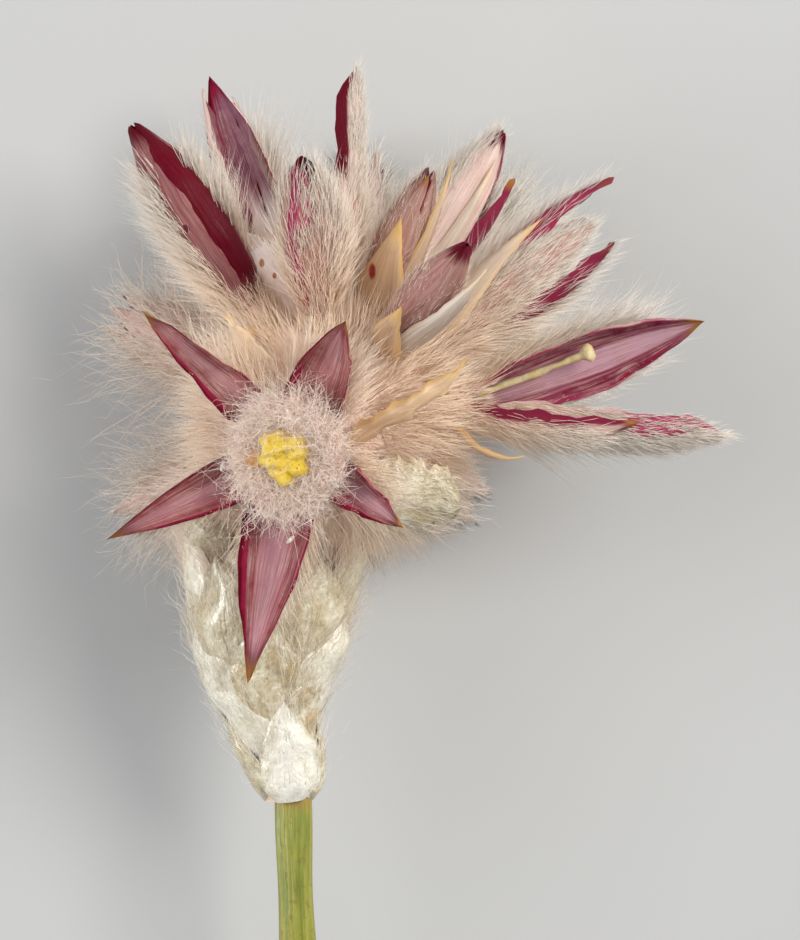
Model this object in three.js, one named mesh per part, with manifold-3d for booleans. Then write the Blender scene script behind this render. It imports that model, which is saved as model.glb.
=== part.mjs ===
// A picked flower head of a leafless, shrubby Ptilotus, lying on a flat surface.
//
// Millimetres, +Z up. The head lies along +Y with its cut stem towards -Y, and the side that faces a
// viewer who looks straight down is its show side. Each flower is a short tube that opens into five
// boat-shaped tepals with tufts of silky hair along their backs. The tubes stand in sockets of a woolly
// core, whose lower end is wrapped in papery bracts. One flower is wide open and shows its anthers.

import * as THREE from "three";
import { mergeVertices } from "three/addons/utils/BufferGeometryUtils.js";
import Module from "manifold-3d";

const wasm = await Module();
wasm.setup();
const { Manifold } = wasm;

// Driving dimensions.
const HEAD = new THREE.Vector3(-3.3, 13.3, 9.2); // the middle of the head, which the tubes point away from
const CLEAR = 0.3; // between one piece and the next
const SURFACE = 0; // the height that the lowest tepals and the stem's end lie on

// The woolly knob that the flowers stand on, with short tufts wherever there is room.
const KNOB = { radius: 4.2, tuftPlaces: 90, tuftRoom: 30, tuftLength: 1.3, tuftWidth: 0.9 };

// A flower's tube, its tepals and the tufts on their backs, and its bracteoles.
const TUBE = { rootRadius: 0.62, mouthRadius: 0.78, sunk: 0.9, standing: 1.5, sides: 6 };
const TEPAL = { halfWidth: 0.9, thickness: 0.65, fold: 0.32, foot: 0.4, widest: 0.58 };
const TUFT = { length: 2.4, width: 0.75, first: 0.3, span: 0.55 };
const BRACTEOLE = {
  halfWidth: 0.7,
  thickness: 0.6,
  fold: 0.4,
  foot: 0.6,
  widest: 0.35,
  outside: 0.3,
  raised: 0.5,
};
const FINE_STATIONS = [0, 0.26, 0.48, 0.68, 0.87];
const COARSE_STATIONS = [0, 0.3, 0.56, 0.82];

// The cup below the knob: its foot, a point on its axis, how far its middle bulges to the left, and
// its radius at heights above the foot.
const FOOT = new THREE.Vector3(-5, -1.7, 8.7);
const CUP_TOP = new THREE.Vector3(-5.5, 9.5, 9);
const CUP_BOW = 0.6;
const CUP_HEIGHT = 12.4;
const CUP_PROFILE = [
  { height: 0, radius: 1.15 },
  { height: 1.7, radius: 1.2 },
  { height: 2.8, radius: 1.45 },
  { height: 4.2, radius: 1.95 },
  { height: 6.4, radius: 2.5 },
  { height: 8.4, radius: 2.75 },
  { height: 10.6, radius: 2.8 },
];

// The papery bracts: rows round the cup, and a few that stand out under the flowers.
const BRACT = { thickness: 0.6, fold: 0.4, foot: 0.6, widest: 0.45, sunk: 0.3 };
const BRACT_ROWS = [
  { height: 0.4, first: 10, count: 4, length: 4.4, halfWidth: 1.4, flare: 0.1 },
  { height: 2, first: 60, count: 5, length: 6, halfWidth: 1.8, flare: 0.2 },
  { height: 4.2, first: 15, count: 5, length: 6.6, halfWidth: 2, flare: 0.5 },
];
const SIDE_BRACTS = [
  { from: [-2.8, 9.6, 11.2], to: [1.7, 10.7, 11.6], out: [0.3, -0.6, 0.7], halfWidth: 1.3 },
  { from: [-2.6, 9.6, 9.6], to: [1.5, 9.6, 9.4], out: [0.2, -1, 0], halfWidth: 1.2 },
  { from: [-7.4, 8.4, 11], to: [-8.9, 9.8, 11.6], out: [-0.6, -0.5, 0.6], halfWidth: 1.1 },
];

// The stem: faintly ribbed, straight where it leaves the head and bending down to the surface.
// Its narrowed top, the spigot, stands in a hole in the foot of the cup.
const STEM = { diameter: 1.5, sides: 12, rib: 0.96, steps: 12, flattened: 0.06 };
const SPIGOT = { radius: 0.4, length: 1.5, sides: 10 };
const STEM_LYING = STEM.diameter / 2 - STEM.flattened;
const STEM_POINTS = [
  [FOOT.x, FOOT.y - CLEAR, FOOT.z],
  [-4.85, -7.4, 8.1],
  [-4.5, -12.6, 5.9],
  [-4.15, -18, 2.5],
  [-4, -22.6, STEM_LYING],
  [-3.9, -27.4, STEM_LYING],
];

// The open flower's middle: a dimpled ring of curly wool, and the yellow anthers inside it.
const WOOL = { height: 3.4, inner: 1.35, outer: 2.75, thickness: 1.1, sides: 12, tufts: 26 };
const ANTHERS = { height: 2.8, spread: 0.6, count: 5, radius: 0.47, stretch: 1.9 };

// The style of the flower on the right, as distances along its axis, to the front and to the side.
const STYLE = { diameter: 0.6, stigmaRadius: 0.45 };
const STYLE_POINTS = [
  [2.7, 0, 0],
  [5, -0.1, 0.25],
  [7.4, -0.2, 0.75],
];

const GOLDEN_ANGLE = Math.PI * (3 - Math.sqrt(5));

// The colours of the pieces.
const COLOURS = {
  stem: { color: 0x9aa338, roughness: 0.45, metalness: 0 },
  bract: { color: 0xe9e2cf, roughness: 0.35, metalness: 0 },
  tepal: { color: 0xb65a78, roughness: 0.4, metalness: 0 },
  wool: { color: 0xe8d3cc, roughness: 0.9, metalness: 0 },
  anther: { color: 0xe3c21e, roughness: 0.6, metalness: 0 },
  style: { color: 0xdccf94, roughness: 0.5, metalness: 0 },
};

// The flowers of the show side first, from the left over the top to the right, then those behind.
// turn and rise aim the flower, in degrees; length, belly and gape are in millimetres.
// at is a tepal's or bracteole's angle round the axis, 0 towards the viewer; reach is its share of the
// flower's length. seat is where the root stands, and lift, shoulder and crown bend the open flower out.
const FLOWERS = {
  flower_star: {
    turn: 215, rise: 70, seat: 4.1, length: 6.4, belly: 2.5, gape: 7.2, halfWidth: 1.1,
    lift: 0.34, shoulder: 0.42, crown: 0.6, tufts: 2,
    tepals: [
      { at: -100, gape: 7.4 },
      { at: -29, gape: 6.4 },
      { at: 65, gape: 6 },
      { at: 136, gape: 9.1, halfWidth: 1.45 },
      { at: 192, gape: 7.8 },
    ],
  },
  flower_upper_left: {
    turn: 126, rise: 7, length: 9.9, belly: 1.25, gape: 0.35, tufts: 2,
    tepals: [{ at: 30 }, { at: 95 }, { at: 160 }, { at: -130 }, { at: -72 }],
    bracteoles: [{ at: -20, reach: 0.42 }],
  },
  flower_top_left: {
    turn: 110, rise: -13, length: 10.7, belly: 1.15, gape: 0.4, halfWidth: 0.95, tufts: 2,
    tepals: [
      { at: 180 },
      { at: 112 },
      { at: -112 },
      { at: 38, reach: 0.55 },
      { at: -38, reach: 0.58 },
    ],
  },
  flower_top_front: {
    turn: 98, rise: 30, length: 7, belly: 1.2, gape: 0.5, tufts: 2,
    tepals: [{ at: 10 }, { at: 80 }, { at: 150 }, { at: -135 }, { at: -62 }],
  },
  flower_top: {
    turn: 89.5, rise: 0, length: 9.9, belly: 1.05, gape: 0.7, tufts: 2,
    tepals: [
      { at: -92, gape: 0.8 },
      { at: -20, reach: 0.68 },
      { at: 52, reach: 0.72 },
      { at: 124, reach: 0.74 },
      { at: -164, reach: 0.7 },
    ],
  },
  flower_top_short: {
    turn: 68.5, rise: 18, length: 7, belly: 1.1, gape: 0.6, tufts: 2,
    tepals: [{ at: 0 }, { at: 72 }, { at: 144 }, { at: -144 }, { at: -72 }],
    bracteoles: [{ at: 52, reach: 0.75 }, { at: -50, reach: 1.06, gape: 0.9 }],
  },
  flower_upper_right: {
    turn: 59, rise: -10, length: 9, belly: 1.25, gape: 0.35, tufts: 2,
    tepals: [{ at: 5 }, { at: 77 }, { at: 149 }, { at: -139 }, { at: -67 }],
    bracteoles: [{ at: -85, reach: 0.8 }],
  },
  flower_front_right: {
    turn: 50, rise: 46, length: 6.9, belly: 1.15, gape: 0.7, tufts: 2,
    tepals: [{ at: 36 }, { at: 108 }, { at: 180 }, { at: -108 }, { at: -36 }],
    bracteoles: [{ at: -92, reach: 0.6 }],
  },
  flower_right: {
    turn: 38, rise: 8, length: 10.2, belly: 1.5, gape: 1.4, tufts: 2,
    tepals: [{ at: 0, reach: 0.88 }, { at: 72 }, { at: 144 }, { at: -144 }, { at: -72 }],
    bracteoles: [{ at: 40, reach: 0.72 }],
  },
  flower_east: {
    turn: 6.5, rise: 10, length: 11.2, belly: 2, gape: 2.3, halfWidth: 1.1, tufts: 2,
    tepals: [
      { at: 125, halfWidth: 1.3 },
      { at: -163, reach: 0.96 },
      { at: -122, reach: 0.86 },
      { at: -84, reach: 1.02 },
      { at: -40, reach: 0.8 },
    ],
    bracteoles: [{ at: -72, reach: 0.45 }],
  },
  back_upper_right: {
    turn: 47, rise: -33, length: 9.4, belly: 1.2, gape: 0.8, tufts: 1,
    tepals: [{ at: 36 }, { at: 108 }, { at: 180 }, { at: -108 }, { at: -36 }],
  },
  back_top_left: {
    turn: 121, rise: -39, length: 9.8, belly: 1.2, gape: 0.8, tufts: 1,
    tepals: [{ at: 0 }, { at: 72 }, { at: 144 }, { at: -144 }, { at: -72 }],
  },
  back_top: {
    turn: 84, rise: -40, length: 10, belly: 1.2, gape: 0.8, tufts: 1,
    tepals: [{ at: 36 }, { at: 108 }, { at: 180 }, { at: -108 }, { at: -36 }],
  },
  back_right: {
    turn: 13, rise: -30, length: 9, belly: 1.2, gape: 0.8, tufts: 1,
    tepals: [{ at: 0 }, { at: 72 }, { at: 144 }, { at: -144 }, { at: -72 }],
  },
  back_lower_right: {
    turn: -30, rise: -57, length: 7.4, belly: 1.15, gape: 0.9, tufts: 1,
    tepals: [{ at: 36 }, { at: 108 }, { at: 180 }, { at: -108 }, { at: -36 }],
  },
  back_left: {
    turn: 153, rise: -24, length: 6.6, belly: 1.2, gape: 1, tufts: 2,
    tepals: [{ at: 0 }, { at: 72 }, { at: 144 }, { at: -144 }, { at: -72 }],
  },
  back_lower_left: {
    turn: 205, rise: -34, length: 7.2, belly: 1.2, gape: 1, tufts: 2,
    tepals: [{ at: 36 }, { at: 108 }, { at: 180 }, { at: -108 }, { at: -36 }],
  },
  back_bottom_left: {
    turn: 232, rise: -55, length: 7.6, belly: 1.15, gape: 0.9, tufts: 1,
    tepals: [{ at: 0 }, { at: 72 }, { at: 144 }, { at: -144 }, { at: -72 }],
  },
  back_bottom_right: {
    turn: -82, rise: -65, length: 6.8, belly: 1.1, gape: 0.9, tufts: 1,
    tepals: [{ at: 36 }, { at: 108 }, { at: 180 }, { at: -108 }, { at: -36 }],
  },
  back_middle_right: {
    turn: 34, rise: -71, length: 6.6, belly: 1.1, gape: 0.9, tufts: 1,
    tepals: [{ at: 0 }, { at: 72 }, { at: 144 }, { at: -144 }, { at: -72 }],
  },
  back_middle_left: {
    turn: 150, rise: -70, length: 6.6, belly: 1.1, gape: 0.9, tufts: 1,
    tepals: [{ at: 36 }, { at: 108 }, { at: 180 }, { at: -108 }, { at: -36 }],
  },
};

const radians = THREE.MathUtils.degToRad;

// Random numbers from 0 to 1, the same on each run.
function seeded(seed) {
  let state = seed;
  return () => {
    state = (state * 1664525 + 1013904223) % 4294967296;
    return state / 4294967296;
  };
}

// A closed geometry as a solid.
function solid(geometry) {
  const bare = geometry.clone();
  bare.deleteAttribute("normal");
  bare.deleteAttribute("uv");
  const merged = mergeVertices(bare, 1e-4);
  const made = new Manifold(
    new wasm.Mesh({
      numProp: 3,
      vertProperties: new Float32Array(merged.attributes.position.array),
      triVerts: new Uint32Array(merged.index.array),
    }),
  );
  if (made.volume() <= 0) throw new Error("a solid is inside out");
  return made;
}

// The largest body of a solid. What a cut leaves loose is dropped.
function largest(made) {
  const bodies = made.decompose();
  bodies.sort((a, b) => b.volume() - a.volume());
  return bodies[0];
}

// A solid as a named mesh.
function piece(name, made, colour) {
  const mesh = largest(made).getMesh();
  const stride = mesh.numProp;
  const positions = new Float32Array(mesh.numVert * 3);
  for (let i = 0; i < mesh.numVert; i++) {
    positions.set(mesh.vertProperties.subarray(i * stride, i * stride + 3), i * 3);
  }
  const geometry = new THREE.BufferGeometry();
  geometry.setAttribute("position", new THREE.BufferAttribute(positions, 3));
  geometry.setIndex(new THREE.BufferAttribute(new Uint32Array(mesh.triVerts), 1));
  geometry.computeVertexNormals();
  const made3d = new THREE.Mesh(geometry, new THREE.MeshStandardMaterial(COLOURS[colour]));
  made3d.name = name;
  return made3d;
}

// A direction from its turn in the plane of the surface and its rise above it, both in degrees.
function direction(turn, rise) {
  const t = radians(turn);
  const r = radians(rise);
  return new THREE.Vector3(Math.cos(r) * Math.cos(t), Math.cos(r) * Math.sin(t), Math.sin(r));
}

// Axes round a flower's own axis: towards the viewer, and to the side.
function around(axis) {
  const up = new THREE.Vector3(0, 0, 1);
  const front = up.addScaledVector(axis, -up.dot(axis)).normalize();
  const side = new THREE.Vector3().crossVectors(front, axis);
  return { front, side };
}

// The direction at an angle in degrees round a flower's axis, from the front towards the side.
function turned(front, side, angle) {
  const phi = radians(angle);
  return front.clone().multiplyScalar(Math.cos(phi)).addScaledVector(side, Math.sin(phi));
}

// The way a blade's back points, from the tangent of its curve in the plane of outward and axis.
function across(tangent, outward, axis) {
  return outward.clone().multiplyScalar(tangent.y).addScaledVector(axis, -tangent.x);
}

// A geometry that was made along +Y, stood on a point with its +Y along an axis.
function stoodAt(geometry, point, axis) {
  geometry.applyQuaternion(new THREE.Quaternion().setFromUnitVectors(new THREE.Vector3(0, 1, 0), axis));
  geometry.translate(...point.toArray());
  return geometry;
}

// The width of a blade along its length, as a share of its widest.
function lanceolate(t, foot, widest) {
  if (t < widest) return foot + (1 - foot) * Math.sin((Math.PI / 2) * (t / widest));
  return 1 - ((t - widest) / (1 - widest)) ** 1.8;
}

// A boat-shaped blade with a keel on its back. Each section has two edges, a groove and a keel.
// midline(t) gives a point and back(t) the way the keel points there; side is the direction across.
function blade({ midline, back, side, halfWidth, thickness, fold, foot, widest, stations }) {
  const rings = stations.map((t) => {
    const groove = midline(t);
    const width = halfWidth * lanceolate(t, foot, widest);
    const raised = groove.clone().addScaledVector(back(t), -fold * width);
    const keel = thickness * Math.min(1, 0.45 + 2.2 * (1 - t));
    return [
      raised.clone().addScaledVector(side, width),
      groove,
      raised.clone().addScaledVector(side, -width),
      groove.clone().addScaledVector(back(t), keel),
    ];
  });
  const tip = midline(1).addScaledVector(back(1), thickness * 0.2);
  const points = [...rings.flat(), tip];
  const last = points.length - 1;
  const faces = [0, 2, 1, 0, 3, 2];
  for (let i = 0; i + 1 < rings.length; i++) {
    for (let k = 0; k < 4; k++) {
      const a = i * 4 + k;
      const b = i * 4 + ((k + 1) % 4);
      // Both faces of the blade are split the same way, so that they can't cross where it waves.
      if (k === 0 || k === 2) {
        faces.push(a, b, a + 4, b, b + 4, a + 4);
      } else {
        faces.push(a, b + 4, a + 4, a, b, b + 4);
      }
    }
  }
  const end = (rings.length - 1) * 4;
  for (let k = 0; k < 4; k++) {
    faces.push(end + k, end + ((k + 1) % 4), last);
  }
  const geometry = new THREE.BufferGeometry().setFromPoints(points);
  geometry.setIndex(faces);
  return solid(geometry);
}

// A three-sided tuft of hair that stands on a surface, its root sunk in.
function tuft(root, towards, length, width) {
  const cone = new THREE.ConeGeometry(width / 2, length, 3);
  cone.translate(0, length / 2, 0);
  return solid(stoodAt(cone, root, towards.clone().normalize()));
}

// A flower's place: its root in the core, its axis and the axes round it.
function placeOf({ turn, rise, seat = KNOB.radius }) {
  const axis = direction(turn, rise);
  const root = HEAD.clone().addScaledVector(axis, seat - TUBE.sunk);
  return { axis, root, ...around(axis) };
}

// The line of a tepal or bracteole: it leaves the tube along the flower's axis and bends outwards.
function bladeLine(flower, { at, reach = 1, gape = flower.gape }) {
  const { axis, root, front, side } = placeOf(flower);
  const { lift = 0.36, shoulder = 0.62, crown = 1 } = flower;
  const outward = turned(front, side, at);
  const length = reach * flower.length + TUBE.sunk;
  const curve = new THREE.CubicBezierCurve(
    new THREE.Vector2(0.15, TUBE.sunk + 0.4),
    new THREE.Vector2(0.6, length * lift),
    new THREE.Vector2(flower.belly * 1.25, length * shoulder),
    new THREE.Vector2(gape, length * crown),
  );
  return {
    midline: (t) => {
      const { x, y } = curve.getPoint(t);
      return root.clone().addScaledVector(outward, x).addScaledVector(axis, y);
    },
    back: (t) => across(curve.getTangent(t), outward, axis),
    side: new THREE.Vector3().crossVectors(axis, outward),
  };
}

// A tepal with its tufts.
function tepalSolids(flower, tepal, random) {
  const line = bladeLine(flower, tepal);
  const halfWidth = tepal.halfWidth ?? flower.halfWidth ?? TEPAL.halfWidth;
  const stations = flower.tufts > 1 ? FINE_STATIONS : COARSE_STATIONS;
  const parts = [blade({ ...TEPAL, ...line, halfWidth, stations })];
  for (let i = 0; i < flower.tufts; i++) {
    const t = TUFT.first + (TUFT.span * (i + 0.5)) / flower.tufts;
    const hand = i % 2 ? 1 : -1;
    const point = line.midline(t);
    const along = line.midline(t + 0.03).sub(point).normalize();
    const root = point
      .addScaledVector(line.back(t), TEPAL.thickness * 0.3)
      .addScaledVector(line.side, hand * halfWidth * 0.25);
    const towards = along
      .multiplyScalar(1.2 + 0.3 * random())
      .addScaledVector(line.back(t), 0.2 + 0.2 * random())
      .addScaledVector(line.side, hand * (0.2 + 0.3 * random()));
    const length = TUFT.length * (0.85 + 0.3 * random()) * (1.3 - 0.6 * t);
    parts.push(tuft(root, towards, length, TUFT.width));
  }
  return parts;
}

// A bracteole, which clasps the tepals from outside.
function bracteoleSolid(flower, { at, reach, gape = flower.belly + 0.3 }) {
  const line = bladeLine(flower, { at, reach, gape });
  const raise = placeOf(flower).axis.multiplyScalar(BRACTEOLE.raised);
  const midline = (t) => line.midline(t).addScaledVector(line.back(t), BRACTEOLE.outside).add(raise);
  return blade({ ...BRACTEOLE, ...line, midline, stations: COARSE_STATIONS });
}

// A flower: the tube, five tepals with their tufts, and the bracteoles that show.
function flowerSolid(flower, seed) {
  const random = seeded(seed);
  const { root, axis } = placeOf(flower);
  const length = TUBE.sunk + TUBE.standing;
  const tube = new THREE.CylinderGeometry(TUBE.mouthRadius, TUBE.rootRadius, length, TUBE.sides);
  tube.translate(0, length / 2, 0);
  const whole = Manifold.union([
    solid(stoodAt(tube, root, axis)),
    ...flower.tepals.flatMap((tepal) => tepalSolids(flower, tepal, random)),
    ...(flower.bracteoles ?? []).map((bracteole) => bracteoleSolid(flower, bracteole)),
  ]);
  return whole.trimByPlane([0, 0, 1], SURFACE);
}

// The stem, with its spigot.
function stemSolid() {
  const corners = [];
  for (let i = 0; i < STEM.sides; i++) {
    const angle = (2 * Math.PI * i) / STEM.sides;
    const radius = (STEM.diameter / 2) * (i % 2 ? STEM.rib : 1);
    corners.push(new THREE.Vector2(radius * Math.cos(angle), radius * Math.sin(angle)));
  }
  const path = new THREE.CatmullRomCurve3(STEM_POINTS.map((p) => new THREE.Vector3(...p)));
  const rod = new THREE.ExtrudeGeometry(new THREE.Shape(corners), {
    extrudePath: path,
    steps: STEM.steps,
    bevelEnabled: false,
  });
  return solid(rod).add(footRod(SPIGOT.radius, SPIGOT.length - CLEAR)).trimByPlane([0, 0, 1], SURFACE);
}

// A round rod on the cup's axis, from inside the stem to a height above the cup's foot.
function footRod(radius, height) {
  const below = 2 * CLEAR;
  const rod = new THREE.CylinderGeometry(radius, radius, height + below, SPIGOT.sides);
  rod.translate(0, (height - below) / 2, 0);
  return solid(stoodAt(rod, FOOT, cupAxis()));
}

function cupAxis() {
  return CUP_TOP.clone().sub(FOOT).normalize();
}

// A point at a height above the cup's foot and a distance outwards from its bowed middle line.
function cupPoint(outward, radius, height) {
  const share = THREE.MathUtils.clamp(height / CUP_HEIGHT, 0, 1);
  const point = FOOT.clone().addScaledVector(outward, radius).addScaledVector(cupAxis(), height);
  point.x -= CUP_BOW * Math.sin(Math.PI * share) ** 2;
  return point;
}

function cupRadius(height) {
  const above = CUP_PROFILE.findIndex((ring) => ring.height >= height);
  if (above < 1) return CUP_PROFILE[above].radius;
  const low = CUP_PROFILE[above - 1];
  const high = CUP_PROFILE[above];
  return THREE.MathUtils.mapLinear(height, low.height, high.height, low.radius, high.radius);
}

// The cup by itself, solid, bowed to the left.
function cupSolid() {
  const rings = CUP_PROFILE.map(({ height, radius }) => new THREE.Vector2(radius, height));
  const profile = [new THREE.Vector2(0, 0), ...rings, new THREE.Vector2(0, CUP_HEIGHT)];
  const cup = new THREE.LatheGeometry(profile, 12);
  const { front, side } = around(cupAxis());
  const places = cup.attributes.position;
  for (let i = 0; i < places.count; i++) {
    const outward = front.clone().multiplyScalar(places.getX(i)).addScaledVector(side, places.getZ(i));
    places.setXYZ(i, ...cupPoint(outward, 1, places.getY(i)).toArray());
  }
  return solid(cup);
}

// A row of bracts that hug the cup and flare a little at their tips.
function bractRow({ height, first, count, length, halfWidth, flare }) {
  const axis = cupAxis();
  const { front, side } = around(axis);
  const top = CUP_PROFILE.at(-1).height;
  const hug = (share, lift) => {
    const at = height + length * share;
    return new THREE.Vector2(cupRadius(Math.min(top, at)) + lift, at);
  };
  const curve = new THREE.CubicBezierCurve(
    hug(0, -BRACT.sunk),
    hug(0.3, 0.05),
    hug(0.7, 0.2),
    hug(1, flare),
  );
  const row = [];
  for (let i = 0; i < count; i++) {
    const outward = turned(front, side, first + (360 / count) * i);
    row.push(
      blade({
        ...BRACT,
        halfWidth,
        midline: (t) => cupPoint(outward, curve.getPoint(t).x, curve.getPoint(t).y),
        back: (t) => across(curve.getTangent(t), outward, axis),
        side: new THREE.Vector3().crossVectors(axis, outward),
        stations: [0, 0.4, 0.76],
      }),
    );
  }
  return row;
}

// A bract that stands out under the flowers, arched between its two ends.
function sideBract({ from, to, out, halfWidth }) {
  const start = new THREE.Vector3(...from);
  const along = new THREE.Vector3(...to).sub(start);
  const back = new THREE.Vector3(...out).projectOnPlane(along.clone().normalize()).normalize();
  const arch = (t) => 0.5 * Math.sin(Math.PI * t);
  return blade({
    ...BRACT,
    halfWidth,
    midline: (t) => start.clone().addScaledVector(along, t).addScaledVector(back, arch(t)),
    back: () => back,
    side: new THREE.Vector3().crossVectors(along, back).normalize(),
    stations: [0, 0.3, 0.6, 0.85],
  });
}

// Woolly tufts on the knob, wherever there is room between the flowers and the cup.
function knobTufts() {
  const random = seeded(31);
  const axes = Object.values(FLOWERS).map((flower) => placeOf(flower).axis);
  const cup = cupAxis().negate();
  const tufts = [];
  for (let i = 0; i < KNOB.tuftPlaces; i++) {
    const z = 1 - (2 * i + 1) / KNOB.tuftPlaces;
    const out = new THREE.Vector3().setFromSphericalCoords(1, Math.acos(z), i * GOLDEN_ANGLE);
    const room = Math.min(...[...axes, cup].map((axis) => axis.angleTo(out)));
    if (room > radians(KNOB.tuftRoom)) {
      const root = HEAD.clone().addScaledVector(out, KNOB.radius - 0.35);
      const nudge = new THREE.Vector3(random() - 0.5, random() - 0.2, random() - 0.5);
      const length = KNOB.tuftLength * (0.8 + 0.4 * random());
      tufts.push(tuft(root, out.addScaledVector(nudge, 0.4), length, KNOB.tuftWidth));
    }
  }
  return tufts;
}

// The room that a flower's tube and the feet of its tepals need in the core.
function socketSolid(flower) {
  const { root, axis } = placeOf(flower);
  const depth = TUBE.sunk + TUBE.standing + 6 * CLEAR;
  const mouth = TUBE.mouthRadius + TEPAL.thickness + CLEAR;
  const hole = new THREE.CylinderGeometry(mouth, TUBE.rootRadius + CLEAR, depth, TUBE.sides);
  hole.translate(0, depth / 2 - CLEAR, 0);
  return solid(stoodAt(hole, root, axis));
}

// The core: the knob on its cup, wrapped in bracts, with a socket for each flower and for the stem.
function coreSolid() {
  const knob = new THREE.IcosahedronGeometry(KNOB.radius, 2);
  knob.translate(...HEAD.toArray());
  const whole = Manifold.union([
    solid(knob),
    cupSolid(),
    ...BRACT_ROWS.flatMap(bractRow),
    ...SIDE_BRACTS.map(sideBract),
    ...knobTufts(),
  ]);
  const holes = Object.values(FLOWERS).map(socketSolid);
  return whole.subtract(Manifold.union([...holes, footRod(SPIGOT.radius + CLEAR, SPIGOT.length)]));
}

// The ring of curly wool in the open flower.
function woolSolid() {
  const random = seeded(7);
  const { axis, root, front, side } = placeOf(FLOWERS.flower_star);
  const across = WOOL.outer - WOOL.inner;
  const ring = new THREE.TorusGeometry((WOOL.inner + WOOL.outer) / 2, across / 2, 6, WOOL.sides);
  ring.scale(1, 1, WOOL.thickness / across);
  ring.rotateX(-Math.PI / 2);
  const centre = root.clone().addScaledVector(axis, WOOL.height + WOOL.thickness / 2);
  const parts = [solid(stoodAt(ring, centre, axis))];
  for (let i = 0; i < WOOL.tufts; i++) {
    const out = turned(front, side, THREE.MathUtils.radToDeg(i * GOLDEN_ANGLE));
    const from = centre.clone().addScaledVector(out, WOOL.inner + across * (0.2 + 0.65 * random()));
    const towards = out.multiplyScalar(1.2 * (random() - 0.35)).addScaledVector(axis, 0.8);
    parts.push(tuft(from, towards.addScaledVector(side, 0.5 * (random() - 0.5)), 0.9 + 0.5 * random(), 0.45));
  }
  return Manifold.union(parts);
}

// The anthers: a close bundle of long lumps.
function antherSolid() {
  const { axis, root, front, side } = placeOf(FLOWERS.flower_star);
  const parts = [];
  for (let i = 0; i < ANTHERS.count; i++) {
    const lump = new THREE.IcosahedronGeometry(ANTHERS.radius, 1);
    lump.scale(1, ANTHERS.stretch, 1);
    const out = turned(front, side, THREE.MathUtils.radToDeg(i * GOLDEN_ANGLE));
    const height = ANTHERS.height + ANTHERS.radius * ANTHERS.stretch + 0.12 * (i % 3);
    const centre = root
      .clone()
      .addScaledVector(axis, height)
      .addScaledVector(out, ANTHERS.spread * Math.sqrt(i / ANTHERS.count));
    parts.push(solid(stoodAt(lump, centre, axis)));
  }
  return Manifold.union(parts);
}

// The style: a thin rod with a knob-like stigma.
function styleSolid() {
  const { axis, root, front, side } = placeOf(FLOWERS.flower_east);
  const points = STYLE_POINTS.map(([along, forward, sideways]) =>
    root
      .clone()
      .addScaledVector(axis, along)
      .addScaledVector(front, forward)
      .addScaledVector(side, sideways),
  );
  const outline = new THREE.EllipseCurve(0, 0, STYLE.diameter / 2, STYLE.diameter / 2).getSpacedPoints(6);
  const rod = new THREE.ExtrudeGeometry(new THREE.Shape(outline), {
    extrudePath: new THREE.CatmullRomCurve3(points),
    steps: 5,
    bevelEnabled: false,
  });
  const stigma = new THREE.IcosahedronGeometry(STYLE.stigmaRadius, 1);
  stigma.scale(0.8, 1.15, 0.9);
  stigma.translate(...points.at(-1).toArray());
  return solid(rod).add(solid(stigma));
}

const flowerHead = new THREE.Group();
flowerHead.add(piece("stem", stemSolid(), "stem"));
flowerHead.add(piece("bract_core", coreSolid(), "bract"));
Object.entries(FLOWERS).forEach(([name, flower], i) => {
  flowerHead.add(piece(name, flowerSolid(flower, 100 + i), "tepal"));
});
flowerHead.add(piece("star_wool", woolSolid(), "wool"));
flowerHead.add(piece("star_anthers", antherSolid(), "anther"));
flowerHead.add(piece("east_style", styleSolid(), "style"));

export default flowerHead;
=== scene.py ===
"""A picked, silky flower head lying on a pale table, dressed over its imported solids.

Lengths in the tables are millimetres in the part's own frame, and meshes are made in metres.
"""

import math

import bmesh
import bpy
import numpy as np
from bpy.props import FloatProperty, FloatVectorProperty, IntProperty, PointerProperty
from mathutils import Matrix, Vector, noise


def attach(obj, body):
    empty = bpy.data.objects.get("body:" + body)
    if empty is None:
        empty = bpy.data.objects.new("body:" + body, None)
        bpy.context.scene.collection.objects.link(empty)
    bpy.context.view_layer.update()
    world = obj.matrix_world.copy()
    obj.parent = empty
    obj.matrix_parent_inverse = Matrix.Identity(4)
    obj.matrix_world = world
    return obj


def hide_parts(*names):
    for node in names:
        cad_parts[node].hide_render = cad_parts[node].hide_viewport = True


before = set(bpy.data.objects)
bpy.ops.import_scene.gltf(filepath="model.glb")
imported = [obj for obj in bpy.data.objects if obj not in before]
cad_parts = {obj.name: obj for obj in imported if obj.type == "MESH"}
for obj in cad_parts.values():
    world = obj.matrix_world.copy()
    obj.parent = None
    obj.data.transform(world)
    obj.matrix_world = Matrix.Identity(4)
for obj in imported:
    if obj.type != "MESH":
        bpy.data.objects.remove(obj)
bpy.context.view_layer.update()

bl_info = {
    "name": "Silky Flower Head",
    "version": (1, 0, 0),
    "blender": (4, 5, 0),
    "location": "View3D > Sidebar > Flower Head",
    "description": "Dresses the solids of a picked flower head with satin tepals and silky hairs",
    "category": "Add Mesh",
}

MM = 0.001
GOLDEN_ANGLE = math.pi * (3 - math.sqrt(5))
# Edges that bend by more than this, in degrees, are drawn sharp.
SHARP_EDGE = 50

# The middle of the head, and how the tubes, tepals and bracteoles of all flowers are built.
HEAD = np.array([-3.3, 13.3, 9.2])
KNOB_RADIUS = 4.2
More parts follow.
